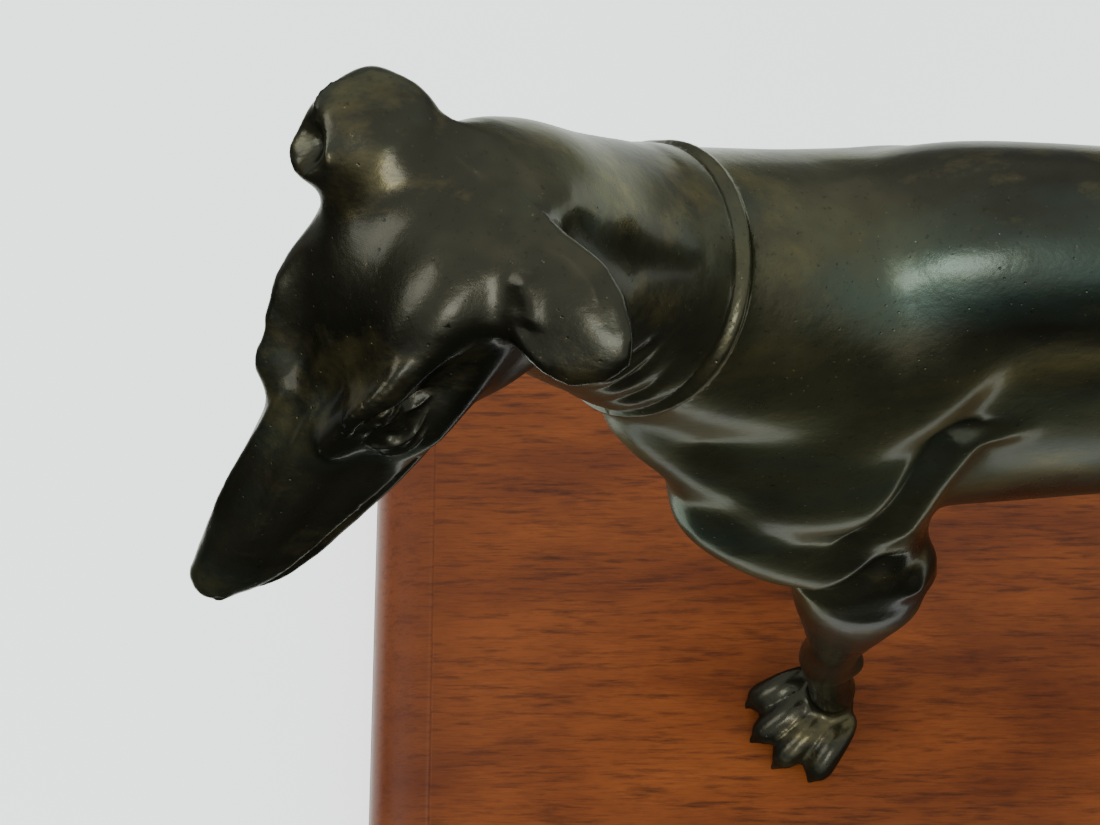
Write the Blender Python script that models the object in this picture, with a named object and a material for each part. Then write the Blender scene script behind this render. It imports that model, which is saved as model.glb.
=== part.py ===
"""A bronze greyhound that stands with its head turned to its left and lowered, on a moulded wooden plinth.

The figure is one casting, its wide collar with it. Its masses are skins drawn over a few sections each and
blended into one surface. Metres, +Z up, the tail towards +X, and the origin at the middle of the plinth's
underside.
"""

import math

import bmesh
import bpy
from mathutils import Matrix, Vector
from mathutils.bvhtree import BVHTree

# The figure's height at its withers above the plinth, which its proportions are shares of
WITHERS_HEIGHT = 0.250

# The plinth
PLINTH_LENGTH = 0.398
PLINTH_WIDTH = 0.156
PLINTH_HEIGHT = 0.028
CORNER_RADIUS = 0.007
CORNER_SEGMENTS = 4
MOULDING_WIDTH = 0.0165
MOULDING_HEIGHT = 0.0125
MOULDING_FILLET = 0.0008
MOULDING_SEGMENTS = 8

# How the figure stands: its forelegs before the middle of the plinth, its feet just clear of the wood
FORELEGS_FORWARD = 0.312 * WITHERS_HEIGHT
SEAT_GAP = 0.0003

# The head: its length, where the skull meets the nape, and the ways that the muzzle and the crown point
HEAD_SHARE = 0.350
NAPE = Vector((-0.340, -0.071, 1.175))
MUZZLE_WAY = Vector((-0.540, -0.510, -0.667)).normalized()
CROWN_WAY = Vector((-0.607, -0.309, 0.731)).normalized()

# The collar: the middle of its rear rim, the way it faces, and its profile as pairs of place along and rise
COLLAR_CENTRE = Vector((-0.223, -0.032, 0.932))
COLLAR_WAY = Vector((-0.800, -0.200, 0.570)).normalized()
COLLAR_ROOT = -0.016
COLLAR_PROFILE = (
    (0.000, COLLAR_ROOT),
    (0.000, 0.0042),
    (0.006, 0.0056),
    (0.013, 0.0030),
    (0.038, 0.0020),
    (0.042, COLLAR_ROOT),
)
COLLAR_SIDES = 72

# The feet
FOREPAW_SHARE = 0.092
FOREPAW_TURN = {-1: math.radians(38), 1: math.radians(12)}
HINDPAW_SHARE = 0.082
HINDPAW_TURN = math.radians(10)
HIND_STEP = {-1: 0.030, 1: -0.030}

# How finely the masses are blended
BLEND_VOXEL = 0.0088 * WITHERS_HEIGHT
BLEND_PASSES = 7
DETAIL_VOXEL = 0.0052 * WITHERS_HEIGHT
DETAIL_PASSES = 3
FIGURE_TRIANGLES = 8400

# The side nearer the viewer is the dog's left, towards -Y. In the head's own directions, left is positive.
NEAR, FAR = -1, 1
LEFT, RIGHT = 1, -1

BRONZE_COLOUR = (0.044, 0.040, 0.028, 1)
MAHOGANY_COLOUR = (0.270, 0.062, 0.018, 1)


def clear_scene():
    for old in list(bpy.data.objects):
        bpy.data.objects.remove(old)


def add_object(name, bm):
    mesh = bpy.data.meshes.new(name)
    bm.to_mesh(mesh)
    bm.free()
    made = bpy.data.objects.new(name, mesh)
    bpy.context.scene.collection.objects.link(made)
    return made


def settled(obj):
    """Takes the object away and gives back the mesh that its modifiers made of it."""
    graph = bpy.context.evaluated_depsgraph_get()
    mesh = bpy.data.meshes.new_from_object(obj.evaluated_get(graph))
    bpy.data.objects.remove(obj)
    bm = bmesh.new()
    bm.from_mesh(mesh)
    bpy.data.meshes.remove(mesh)
    return bm


def blended(bm, voxel, passes):
    """One closed surface round overlapping skins, its joins softened."""
    rough = add_object("rough", bm)
    remesh = rough.modifiers.new("Remesh", "REMESH")
    remesh.mode = "VOXEL"
    remesh.voxel_size = voxel
    smooth = rough.modifiers.new("Smooth", "SMOOTH")
    smooth.factor = 0.5
    smooth.iterations = passes
    return settled(rough)


def joined(first, second):
    """Both meshes in one, still apart."""
    mesh = bpy.data.meshes.new("joined")
    second.to_mesh(mesh)
    second.free()
    first.from_mesh(mesh)
    bpy.data.meshes.remove(mesh)
    return first


def paint(obj, name, colour, roughness, metallic):
    material = bpy.data.materials.new(name)
    material.use_nodes = True
    shader = material.node_tree.nodes["Principled BSDF"]
    shader.inputs["Base Color"].default_value = colour
    shader.inputs["Roughness"].default_value = roughness
    shader.inputs["Metallic"].default_value = metallic
    obj.data.materials.append(material)


def along_curve(rows, share):
    """The row at a share of the way along a smooth curve through all the rows."""
    place = share * (len(rows) - 1)
    first = min(int(place), len(rows) - 2)
    t = place - first
    before = rows[max(first - 1, 0)]
    start = rows[first]
    end = rows[first + 1]
    after = rows[min(first + 2, len(rows) - 1)]
    return [
        0.5 * (2 * b + (c - a) * t + (2 * a - 5 * b + 4 * c - d) * t**2 + (3 * b - a - 3 * c + d) * t**3)
        for a, b, c, d in zip(before, start, end, after)
    ]


def skin(bm, rows, front, along=None, sides=24, rings=28, place=None):
    """Draws a closed skin over sections.

    A section is x, y and z of its centre, its half width, and its reach to the front and to the back of the
    centre. Front is the way that the sections look. They stand square to the line through their centres, or
    square to the way along.
    """
    skin_verts = bmesh.ops.create_uvsphere(bm, u_segments=sides, v_segments=rings, radius=1)["verts"]
    step = 0.5 / rings
    for vert in skin_verts:
        share = math.acos(max(-1.0, min(1.0, -vert.co.z))) / math.pi
        round_way = Vector((vert.co.x, vert.co.y))
        x, y, z, width, ahead, behind = along_curve(rows, share)
        way = along
        if along is None:
            later = Vector(along_curve(rows, min(share + step, 1))[:3])
            earlier = Vector(along_curve(rows, max(share - step, 0))[:3])
            way = (later - earlier).normalized()
        across = way.cross(Vector(front)).normalized()
        forward = across.cross(way).normalized()
        at_end = round_way.length < 1e-4
        turned = Vector((0, 0)) if at_end else round_way.normalized()
        reach = ahead if turned.y > 0 else behind
        vert.co = Vector((x, y, z)) + across * (width * turned.x) + forward * (reach * turned.y)
    if place is not None:
        bmesh.ops.transform(bm, matrix=place, verts=skin_verts)


def lump(bm, centre, radii, place=None):
    """An ellipsoid, for a muscle, a joint or a pad."""
    shape = Matrix.Translation(centre) @ Matrix.Diagonal((*radii, 1))
    if place is not None:
        shape = place @ shape
    bmesh.ops.create_uvsphere(bm, u_segments=20, v_segments=14, radius=1, matrix=shape)


def head_place():
    """Carries the head's own directions, muzzle and left and crown, in head lengths, to the figure's."""
    left = CROWN_WAY.cross(MUZZLE_WAY).normalized()
    crown = MUZZLE_WAY.cross(left).normalized()
    turned = Matrix((MUZZLE_WAY, left, crown)).transposed().to_4x4()
    return Matrix.Translation(NAPE) @ turned @ Matrix.Scale(HEAD_SHARE, 4)


def trunk(bm):
    """Place along, height, half width, and reach up and down."""
    lean = 0.006
    sections = (
        (-0.246, 0.705, 0.012, 0.020, 0.020),
        (-0.222, 0.710, 0.048, 0.095, 0.080),
        (-0.175, 0.710, 0.078, 0.187, 0.142),
        (-0.110, 0.700, 0.096, 0.252, 0.185),
        (-0.030, 0.690, 0.098, 0.290, 0.218),
        (0.050, 0.685, 0.090, 0.298, 0.228),
        (0.140, 0.690, 0.085, 0.285, 0.218),
        (0.230, 0.700, 0.085, 0.273, 0.198),
        (0.320, 0.718, 0.085, 0.262, 0.172),
        (0.400, 0.745, 0.080, 0.249, 0.148),
        (0.480, 0.778, 0.073, 0.228, 0.130),
        (0.560, 0.800, 0.073, 0.204, 0.122),
        (0.640, 0.805, 0.078, 0.180, 0.118),
        (0.710, 0.795, 0.075, 0.155, 0.105),
        (0.765, 0.785, 0.053, 0.110, 0.075),
        (0.785, 0.785, 0.015, 0.040, 0.030),
    )
    rows = [(x, lean, z, width, up, down) for x, z, width, up, down in sections]
    skin(bm, rows, front=(0, 0, 1), along=Vector((1, 0, 0)), sides=32, rings=46)


def neck(bm):
    rows = (
        (0.010, 0.000, 0.780, 0.070, 0.060, 0.080),
        (-0.075, -0.002, 0.820, 0.102, 0.115, 0.142),
        (-0.160, -0.016, 0.875, 0.096, 0.107, 0.140),
        (-0.238, -0.034, 0.948, 0.084, 0.090, 0.104),
        (-0.295, -0.055, 1.030, 0.075, 0.076, 0.080),
        (-0.330, -0.072, 1.100, 0.068, 0.068, 0.068),
        (-0.350, -0.084, 1.150, 0.050, 0.048, 0.045),
    )
    skin(bm, rows, front=(1.0, 0.2, 0.85), sides=28, rings=30)


def shoulder(bm, side):
    blade = (
        (0.015, side * 0.022, 0.955, 0.012, 0.020, 0.020),
        (-0.005, side * 0.036, 0.915, 0.026, 0.050, 0.050),
        (-0.050, side * 0.066, 0.850, 0.037, 0.062, 0.062),
        (-0.110, side * 0.082, 0.765, 0.038, 0.058, 0.066),
        (-0.160, side * 0.084, 0.700, 0.036, 0.044, 0.055),
        (-0.185, side * 0.082, 0.660, 0.018, 0.020, 0.025),
    )
    skin(bm, blade, front=(-1, 0, 0.6))
    upper_arm = (
        (-0.193, side * 0.080, 0.700, 0.020, 0.020, 0.020),
        (-0.170, side * 0.090, 0.670, 0.044, 0.046, 0.050),
        (-0.130, side * 0.102, 0.620, 0.044, 0.052, 0.058),
        (-0.080, side * 0.108, 0.570, 0.040, 0.050, 0.056),
        (-0.030, side * 0.110, 0.530, 0.034, 0.038, 0.044),
        (-0.005, side * 0.110, 0.510, 0.015, 0.015, 0.015),
    )
    skin(bm, upper_arm, front=(-1, 0, -1))
    back_of_arm = (
        (-0.008, side * 0.050, 0.860, 0.015, 0.020, 0.018),
        (-0.022, side * 0.066, 0.780, 0.034, 0.060, 0.038),
        (-0.034, side * 0.082, 0.690, 0.038, 0.066, 0.036),
        (-0.030, side * 0.096, 0.610, 0.036, 0.052, 0.030),
        (-0.014, side * 0.104, 0.545, 0.028, 0.034, 0.022),
        (0.000, side * 0.108, 0.515, 0.012, 0.015, 0.015),
    )
    skin(bm, back_of_arm, front=(-1, 0, 0))
    lump(bm, (-0.172, side * 0.045, 0.665), (0.040, 0.050, 0.085))
    throat_base = (
        (-0.212, side * 0.045, 0.930, 0.016, 0.020, 0.020),
        (-0.222, side * 0.060, 0.880, 0.038, 0.040, 0.040),
        (-0.218, side * 0.070, 0.810, 0.042, 0.044, 0.044),
        (-0.195, side * 0.072, 0.740, 0.038, 0.038, 0.038),
        (-0.178, side * 0.068, 0.680, 0.014, 0.016, 0.016),
    )
    skin(bm, throat_base, front=(-1, 0, 0))


def foreleg(bm, side):
    rows = (
        (-0.048, side * 0.100, 0.620, 0.030, 0.040, 0.030),
        (-0.042, side * 0.114, 0.550, 0.040, 0.060, 0.040),
        (-0.038, side * 0.119, 0.490, 0.041, 0.060, 0.056),
        (-0.037, side * 0.119, 0.430, 0.037, 0.050, 0.046),
        (-0.036, side * 0.117, 0.360, 0.031, 0.038, 0.035),
        (-0.035, side * 0.115, 0.290, 0.025, 0.028, 0.028),
        (-0.035, side * 0.113, 0.225, 0.026, 0.029, 0.028),
        (-0.031, side * 0.111, 0.170, 0.024, 0.024, 0.025),
        (-0.022, side * 0.109, 0.120, 0.023, 0.023, 0.023),
        (-0.014, side * 0.108, 0.075, 0.026, 0.025, 0.026),
        (-0.010, side * 0.108, 0.035, 0.022, 0.022, 0.024),
    )
    skin(bm, rows, front=(-1, 0, 0), sides=20, rings=34)
    point_of_elbow = (
        (-0.012, side * 0.106, 0.580, 0.015, 0.015, 0.015),
        (-0.004, side * 0.111, 0.550, 0.023, 0.024, 0.026),
        (0.000, side * 0.112, 0.520, 0.022, 0.026, 0.026),
        (-0.006, side * 0.112, 0.490, 0.014, 0.014, 0.014),
    )
    skin(bm, point_of_elbow, front=(1, 0, 0.3))
    lump(bm, (-0.008, side * 0.113, 0.205), (0.014, 0.016, 0.020))


def hind_leg(bm, side):
    back = HIND_STEP[side]
    rows = (
        (0.660, side * 0.035, 0.935, 0.020, 0.050, 0.040),
        (0.662, side * 0.054, 0.860, 0.046, 0.115, 0.090),
        (0.655, side * 0.066, 0.770, 0.052, 0.130, 0.112),
        (0.640, side * 0.074, 0.680, 0.053, 0.118, 0.112),
        (0.618, side * 0.080, 0.590, 0.048, 0.100, 0.092),
        (0.606 + 0.2 * back, side * 0.083, 0.510, 0.041, 0.086, 0.074),
        (0.640 + 0.4 * back, side * 0.083, 0.430, 0.035, 0.060, 0.068),
        (0.700 + 0.7 * back, side * 0.081, 0.350, 0.029, 0.044, 0.060),
        (0.765 + back, side * 0.080, 0.280, 0.023, 0.032, 0.050),
        (0.800 + back, side * 0.079, 0.235, 0.021, 0.027, 0.034),
        (0.812 + back, side * 0.078, 0.170, 0.020, 0.021, 0.022),
        (0.815 + back, side * 0.077, 0.110, 0.021, 0.021, 0.022),
        (0.812 + back, side * 0.077, 0.070, 0.025, 0.024, 0.024),
        (0.806 + back, side * 0.077, 0.035, 0.020, 0.020, 0.022),
    )
    skin(bm, rows, front=(-1, 0, 0.15), sides=24, rings=44)
    point_of_hock = (
        (0.800 + back, side * 0.079, 0.225, 0.012, 0.012, 0.012),
        (0.822 + back, side * 0.079, 0.255, 0.018, 0.018, 0.020),
        (0.840 + back, side * 0.079, 0.290, 0.015, 0.014, 0.020),
        (0.843 + back, side * 0.079, 0.310, 0.009, 0.008, 0.008),
    )
    skin(bm, point_of_hock, front=(1, 0, 0))
    tendon = (
        (0.842 + back, side * 0.079, 0.285, 0.008, 0.008, 0.008),
        (0.812 + back, side * 0.079, 0.328, 0.013, 0.014, 0.018),
        (0.766 + 0.8 * back, side * 0.080, 0.388, 0.019, 0.022, 0.024),
        (0.714 + 0.5 * back, side * 0.080, 0.462, 0.027, 0.030, 0.030),
        (0.680 + 0.3 * back, side * 0.078, 0.550, 0.026, 0.026, 0.026),
    )
    skin(bm, tendon, front=(1, 0, 0))


def tail(bm):
    rows = (
        (0.735, 0.000, 0.860, 0.030, 0.030, 0.030),
        (0.775, 0.000, 0.838, 0.030, 0.030, 0.034),
        (0.815, 0.002, 0.780, 0.023, 0.024, 0.026),
        (0.852, 0.006, 0.680, 0.018, 0.019, 0.020),
        (0.880, 0.010, 0.560, 0.015, 0.016, 0.016),
        (0.908, 0.014, 0.440, 0.0135, 0.014, 0.014),
        (0.945, 0.016, 0.335, 0.0125, 0.0125, 0.0125),
        (0.998, 0.016, 0.268, 0.0115, 0.0115, 0.0115),
        (1.052, 0.014, 0.262, 0.0105, 0.0105, 0.0105),
        (1.090, 0.012, 0.292, 0.008, 0.008, 0.008),
    )
    skin(bm, rows, front=(1, 0, 0.4), sides=16, rings=44)


def paw(bm, x, y, side, turn, length):
    """Four arched toes with their nails, round a heel pad."""
    toe_angles = (-16, -5, 5, 17)
    toe = (
        (0.00, 0.36, 0.080, 0.080, 0.10),
        (0.22, 0.42, 0.140, 0.130, 0.20),
        (0.48, 0.40, 0.155, 0.160, 0.20),
        (0.70, 0.30, 0.155, 0.165, 0.20),
        (0.90, 0.20, 0.150, 0.150, 0.16),
        (1.02, 0.16, 0.100, 0.100, 0.12),
        (1.06, 0.15, 0.030, 0.030, 0.03),
    )
    nail = (
        (0.96, 0.16, 0.020, 0.020, 0.020),
        (1.02, 0.15, 0.046, 0.046, 0.046),
        (1.09, 0.09, 0.036, 0.036, 0.036),
        (1.12, 0.05, 0.010, 0.010, 0.010),
    )
    heading = Matrix.Rotation(math.pi - side * turn, 4, "Z")
    place = Matrix.Translation((x, y, 0)) @ heading @ Matrix.Scale(length, 4)
    for number, angle in enumerate(toe_angles):
        reach = 0.80 if number in (0, len(toe_angles) - 1) else 0.97
        out = Vector((math.cos(math.radians(angle)), math.sin(math.radians(angle)), 0))
        root = Vector((-0.06, 0.20 * (number - 1.5), 0))
        for sections in (toe, nail):
            rows = []
            for share, height, width, up, down in sections:
                spot = root + out * (reach * share)
                rows.append((spot.x, spot.y, height, width, up, down))
            skin(bm, rows, front=(0, 0, 1), sides=14, rings=14, place=place)
    lump(bm, (0.10, 0, 0.14), (0.30, 0.34, 0.20), place=place)
    lump(bm, (0.06, 0, 0.40), (0.29, 0.31, 0.30), place=place)


def skull(bm, place):
    upper = (
        (1.000, 0, -0.070, 0.030, 0.030, 0.030),
        (0.980, 0, -0.070, 0.056, 0.050, 0.050),
        (0.930, 0, -0.072, 0.070, 0.056, 0.070),
        (0.840, 0, -0.074, 0.085, 0.064, 0.084),
        (0.750, 0, -0.076, 0.098, 0.072, 0.098),
        (0.660, 0, -0.080, 0.112, 0.082, 0.112),
        (0.580, 0, -0.084, 0.128, 0.094, 0.124),
        (0.500, 0, -0.086, 0.150, 0.112, 0.138),
        (0.420, 0, -0.088, 0.172, 0.136, 0.152),
        (0.330, 0, -0.090, 0.190, 0.160, 0.165),
        (0.230, 0, -0.092, 0.196, 0.172, 0.170),
        (0.130, 0, -0.096, 0.182, 0.164, 0.165),
        (0.040, 0, -0.105, 0.150, 0.136, 0.150),
        (-0.060, 0, -0.130, 0.108, 0.104, 0.120),
    )
    skin(bm, upper, front=(0, 0, 1), along=Vector((1, 0, 0)), sides=28, rings=44, place=place)
    jaw = (
        (0.955, 0, -0.135, 0.026, 0.018, 0.018),
        (0.930, 0, -0.142, 0.056, 0.042, 0.036),
        (0.830, 0, -0.162, 0.070, 0.060, 0.048),
        (0.700, 0, -0.188, 0.086, 0.076, 0.054),
        (0.560, 0, -0.218, 0.102, 0.088, 0.060),
        (0.420, 0, -0.244, 0.116, 0.098, 0.062),
        (0.280, 0, -0.260, 0.122, 0.100, 0.066),
        (0.150, 0, -0.255, 0.110, 0.100, 0.064),
        (0.040, 0, -0.235, 0.070, 0.070, 0.050),
    )
    skin(bm, jaw, front=(0, 0, 1), along=Vector((1, 0, 0)), sides=20, rings=34, place=place)
    for hand in (LEFT, RIGHT):
        muzzle_side(bm, hand, place)
        cheek(bm, hand, place)


def muzzle_side(bm, hand, place):
    """One edge of the nasal bridge and the lip under it."""
    bridge = (
        (0.985, hand * 0.016, -0.060, 0.014, 0.014, 0.014),
        (0.900, hand * 0.030, -0.046, 0.030, 0.032, 0.032),
        (0.750, hand * 0.035, -0.030, 0.034, 0.035, 0.035),
        (0.600, hand * 0.037, -0.014, 0.036, 0.036, 0.036),
        (0.500, hand * 0.036, -0.006, 0.032, 0.032, 0.032),
        (0.430, hand * 0.032, -0.010, 0.012, 0.012, 0.012),
    )
    skin(bm, bridge, front=(0, 0, 1), sides=16, rings=24, place=place)
    lip = (
        (0.965, hand * 0.022, -0.110, 0.014, 0.014, 0.014),
        (0.920, hand * 0.044, -0.120, 0.036, 0.036, 0.036),
        (0.830, hand * 0.062, -0.138, 0.044, 0.045, 0.044),
        (0.700, hand * 0.078, -0.152, 0.048, 0.050, 0.050),
        (0.570, hand * 0.094, -0.156, 0.052, 0.056, 0.056),
        (0.460, hand * 0.106, -0.156, 0.046, 0.052, 0.052),
        (0.380, hand * 0.110, -0.158, 0.016, 0.018, 0.018),
    )
    skin(bm, lip, front=(0, 0, 1), sides=16, rings=26, place=place)


def cheek(bm, hand, place):
    """One cheek, temple, cheekbone and brow."""
    lump(bm, (0.260, hand * 0.112, -0.190), (0.150, 0.066, 0.120), place=place)
    lump(bm, (0.210, hand * 0.086, 0.006), (0.180, 0.105, 0.085), place=place)
    cheekbone = (
        (0.560, hand * 0.112, -0.100, 0.012, 0.012, 0.012),
        (0.500, hand * 0.146, -0.096, 0.030, 0.032, 0.032),
        (0.410, hand * 0.172, -0.088, 0.034, 0.036, 0.036),
        (0.280, hand * 0.178, -0.082, 0.030, 0.034, 0.034),
        (0.150, hand * 0.160, -0.078, 0.012, 0.012, 0.012),
    )
    skin(bm, cheekbone, front=(0, 0, 1), sides=14, rings=18, place=place)
    brow = (
        (0.575, hand * 0.082, 0.006, 0.012, 0.012, 0.012),
        (0.530, hand * 0.102, 0.026, 0.032, 0.034, 0.034),
        (0.465, hand * 0.122, 0.038, 0.038, 0.040, 0.040),
        (0.385, hand * 0.138, 0.040, 0.039, 0.041, 0.041),
        (0.300, hand * 0.149, 0.032, 0.036, 0.040, 0.040),
        (0.220, hand * 0.154, 0.016, 0.030, 0.034, 0.034),
        (0.150, hand * 0.150, 0.000, 0.012, 0.012, 0.012),
    )
    skin(bm, brow, front=(0, 0, 1), sides=16, rings=24, place=place)


def face(bm, place):
    """The eyeballs and nose, which stay crisper than the rest."""
    for hand in (LEFT, RIGHT):
        lump(bm, (0.448, hand * 0.140, -0.040), (0.048, 0.040, 0.038), place=place)
    lump(bm, (0.975, 0, -0.066), (0.040, 0.056, 0.046), place=place)


def left_ear(bm, place):
    """A rose ear laid back: a drooping flap with a rolled front edge."""
    flap = (
        (0.060, 0.120, -0.030, 0.060, 0.080, 0.090),
        (0.060, 0.170, -0.045, 0.055, 0.085, 0.095),
        (0.060, 0.220, -0.062, 0.046, 0.088, 0.102),
        (0.065, 0.270, -0.080, 0.040, 0.090, 0.104),
        (0.085, 0.325, -0.102, 0.034, 0.080, 0.090),
        (0.103, 0.365, -0.120, 0.026, 0.055, 0.062),
        (0.110, 0.384, -0.128, 0.010, 0.015, 0.015),
    )
    skin(bm, flap, front=(1, 0, 0), sides=24, rings=24, place=place)
    roll = (
        (0.115, 0.150, -0.022, 0.014, 0.014, 0.014),
        (0.128, 0.200, -0.036, 0.034, 0.036, 0.036),
        (0.140, 0.250, -0.050, 0.036, 0.038, 0.038),
        (0.150, 0.300, -0.072, 0.031, 0.032, 0.032),
        (0.150, 0.342, -0.098, 0.020, 0.022, 0.022),
        (0.142, 0.362, -0.112, 0.008, 0.008, 0.008),
    )
    skin(bm, roll, front=(1, 0, 0), sides=16, rings=20, place=place)


def right_ear(bm, place):
    """A rose ear raised: a tube along the head, open in front."""
    lump(bm, (0.085, -0.135, 0.045), (0.120, 0.085, 0.075), place=place)
    tube = (
        (-0.040, -0.110, 0.010, 0.020, 0.020, 0.020),
        (-0.015, -0.160, 0.035, 0.038, 0.038, 0.038),
        (0.004, -0.204, 0.070, 0.045, 0.047, 0.047),
        (0.058, -0.204, 0.092, 0.054, 0.054, 0.054),
        (0.115, -0.204, 0.112, 0.054, 0.052, 0.052),
        (0.162, -0.202, 0.124, 0.048, 0.047, 0.047),
        (0.188, -0.200, 0.128, 0.022, 0.022, 0.022),
    )
    skin(bm, tube, front=(0, -1, 1), sides=24, rings=24, place=place)


def collar(body):
    """A closed band that follows the neck's surface all round, with a raised rim behind."""
    surface = BVHTree.FromBMesh(body)
    turned = COLLAR_WAY.to_track_quat("Z", "Y").to_matrix()
    bm = bmesh.new()
    loops = []
    for along, rise in COLLAR_PROFILE:
        centre = (COLLAR_CENTRE + COLLAR_WAY * along) * WITHERS_HEIGHT
        loop = bmesh.ops.create_circle(bm, segments=COLLAR_SIDES, radius=1)["verts"]
        for vert in loop:
            ray = turned @ vert.co
            vert.co = surface.ray_cast(centre, ray)[0] + ray * (rise * WITHERS_HEIGHT)
        loops.append(loop)
    for first, second in zip(loops, loops[1:] + loops[:1]):
        own = set(first + second)
        edges = {edge for vert in own for edge in vert.link_edges if set(edge.verts) <= own}
        rings = [edge for edge in edges if len({vert in first for vert in edge.verts}) == 1]
        bmesh.ops.bridge_loops(bm, edges=rings)
    bmesh.ops.recalc_face_normals(bm, faces=bm.faces)
    return bm


def pressed(bm, spots, place, scale):
    """Press hollows into a surface: each spot is its centre, radii and depth in the frame of the place."""
    bm.normal_update()
    back = place.inverted()
    moved = {}
    for vert in bm.verts:
        here = back @ vert.co
        depth = 0.0
        for centre, radii, deep in spots:
            gap = sum(((a - b) / radius) ** 2 for a, b, radius in zip(here, centre, radii))
            if gap < 8:
                depth += deep * math.exp(-gap)
        if depth:
            moved[vert] = vert.co - vert.normal * (depth * scale)
    for vert, co in moved.items():
        vert.co = co


def hollows(body):
    """The eye sockets, the mouth of the raised ear, and the fold behind each upper arm."""
    head = [((0.195, -0.210, 0.150), (0.040, 0.034, 0.034), 0.060)]
    for hand in (LEFT, RIGHT):
        head.append(((0.425, hand * 0.195, -0.005), (0.060, 0.032, 0.024), 0.016))
        head.append(((0.300, hand * 0.195, -0.010), (0.070, 0.040, 0.030), 0.016))
        head.append(((0.480, hand * 0.040, 0.040), (0.040, 0.024, 0.040), 0.012))
    grown = Matrix.Scale(WITHERS_HEIGHT, 4)
    pressed(body, head, grown @ head_place(), WITHERS_HEIGHT * HEAD_SHARE)
    folds = []
    for side in (NEAR, FAR):
        fold = (
            (-0.066, side * 0.124, 0.655),
            (-0.048, side * 0.119, 0.687),
            (-0.035, side * 0.113, 0.728),
            (-0.022, side * 0.102, 0.770),
        )
        for step in range(10):
            folds.append((along_curve(fold, step / 9), (0.013, 0.016, 0.013), 0.005))
    pressed(body, folds, grown, WITHERS_HEIGHT)


def figure_surface():
    """The whole figure but for its collar, in fine triangles, standing on z = 0 in metres."""
    place = head_place()
    masses = bmesh.new()
    trunk(masses)
    neck(masses)
    skull(masses, place)
    left_ear(masses, place)
    right_ear(masses, place)
    for side in (NEAR, FAR):
        shoulder(masses, side)
        foreleg(masses, side)
        hind_leg(masses, side)
    bmesh.ops.scale(masses, vec=(WITHERS_HEIGHT,) * 3, verts=masses.verts)
    body = blended(masses, BLEND_VOXEL, BLEND_PASSES)
    details = bmesh.new()
    face(details, place)
    tail(details)
    for side in (NEAR, FAR):
        paw(details, -0.010, side * 0.108, side, FOREPAW_TURN[side], FOREPAW_SHARE)
        paw(details, 0.800 + HIND_STEP[side], side * 0.078, side, HINDPAW_TURN, HINDPAW_SHARE)
    bmesh.ops.scale(details, vec=(WITHERS_HEIGHT,) * 3, verts=details.verts)
    whole = blended(joined(body, details), DETAIL_VOXEL, DETAIL_PASSES)
    hollows(whole)
    return whole


def flatten_soles(bm):
    """Cuts the soles off flat, just above the plinth, and closes them."""
    everything = bm.verts[:] + bm.edges[:] + bm.faces[:]
    cut = bmesh.ops.bisect_plane(
        bm, geom=everything, plane_co=(0, 0, SEAT_GAP), plane_no=(0, 0, 1), clear_inner=True
    )
    rims = [item for item in cut["geom_cut"] if isinstance(item, bmesh.types.BMEdge)]
    bmesh.ops.holes_fill(bm, edges=rims, sides=0)
    bmesh.ops.triangulate(bm, faces=bm.faces)


def greyhound():
    fine = figure_surface()
    flatten_soles(fine)
    band = collar(fine)
    share = FIGURE_TRIANGLES / len(fine.faces)
    plain = add_object("plain", fine)
    plain.modifiers.new("Decimate", "DECIMATE").ratio = share
    figure = add_object("bare", settled(plain))
    ring = add_object("ring", band)
    union = figure.modifiers.new("Boolean", "BOOLEAN")
    union.operation = "UNION"
    union.solver = "EXACT"
    union.object = ring
    made = settled(figure)
    bpy.data.objects.remove(ring)
    bmesh.ops.triangulate(made, faces=made.faces)
    bmesh.ops.translate(made, vec=(-FORELEGS_FORWARD, 0, PLINTH_HEIGHT), verts=made.verts)
    for triangle in made.faces:
        triangle.smooth = True
    paint(add_object("greyhound", made), "patinated bronze", BRONZE_COLOUR, 0.32, 0.85)


def plinth_outline(inset, height):
    """The plinth's rounded oblong, drawn in by an inset, as points at a height."""
    radius = max(CORNER_RADIUS - 0.3 * inset, 0.2 * CORNER_RADIUS)
    length = PLINTH_LENGTH / 2 - inset - radius
    width = PLINTH_WIDTH / 2 - inset - radius
    points = []
    for corner, (x, y) in enumerate(((length, width), (-length, width), (-length, -width), (length, -width))):
        for step in range(CORNER_SEGMENTS + 1):
            turn = math.pi / 2 * (corner + step / CORNER_SEGMENTS)
            points.append(Vector((x + radius * math.cos(turn), y + radius * math.sin(turn), height)))
    return points


def plinth():
    """A block with an ovolo worked round its top edge, under a small fillet."""
    shoulder_height = PLINTH_HEIGHT - MOULDING_HEIGHT
    rise = MOULDING_HEIGHT - MOULDING_FILLET
    profile = [(0, 0), (0, shoulder_height)]
    for step in range(1, MOULDING_SEGMENTS + 1):
        turn = math.pi / 2 * step / MOULDING_SEGMENTS
        profile.append((MOULDING_WIDTH * (1 - math.cos(turn)), shoulder_height + rise * math.sin(turn)))
    profile.append((MOULDING_WIDTH, PLINTH_HEIGHT))
    bm = bmesh.new()
    loops = [[bm.verts.new(point) for point in plinth_outline(*place)] for place in profile]
    for low, high in zip(loops, loops[1:]):
        for corners in zip(low, low[1:] + low[:1], high[1:] + high[:1], high):
            bm.faces.new(corners)
    bm.faces.new(loops[-1])
    bm.faces.new(reversed(loops[0]))
    paint(add_object("plinth", bm), "mahogany", MAHOGANY_COLOUR, 0.38, 0)


def main():
    clear_scene()
    greyhound()
    plinth()


if __name__ == "__main__":
    main()
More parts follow.
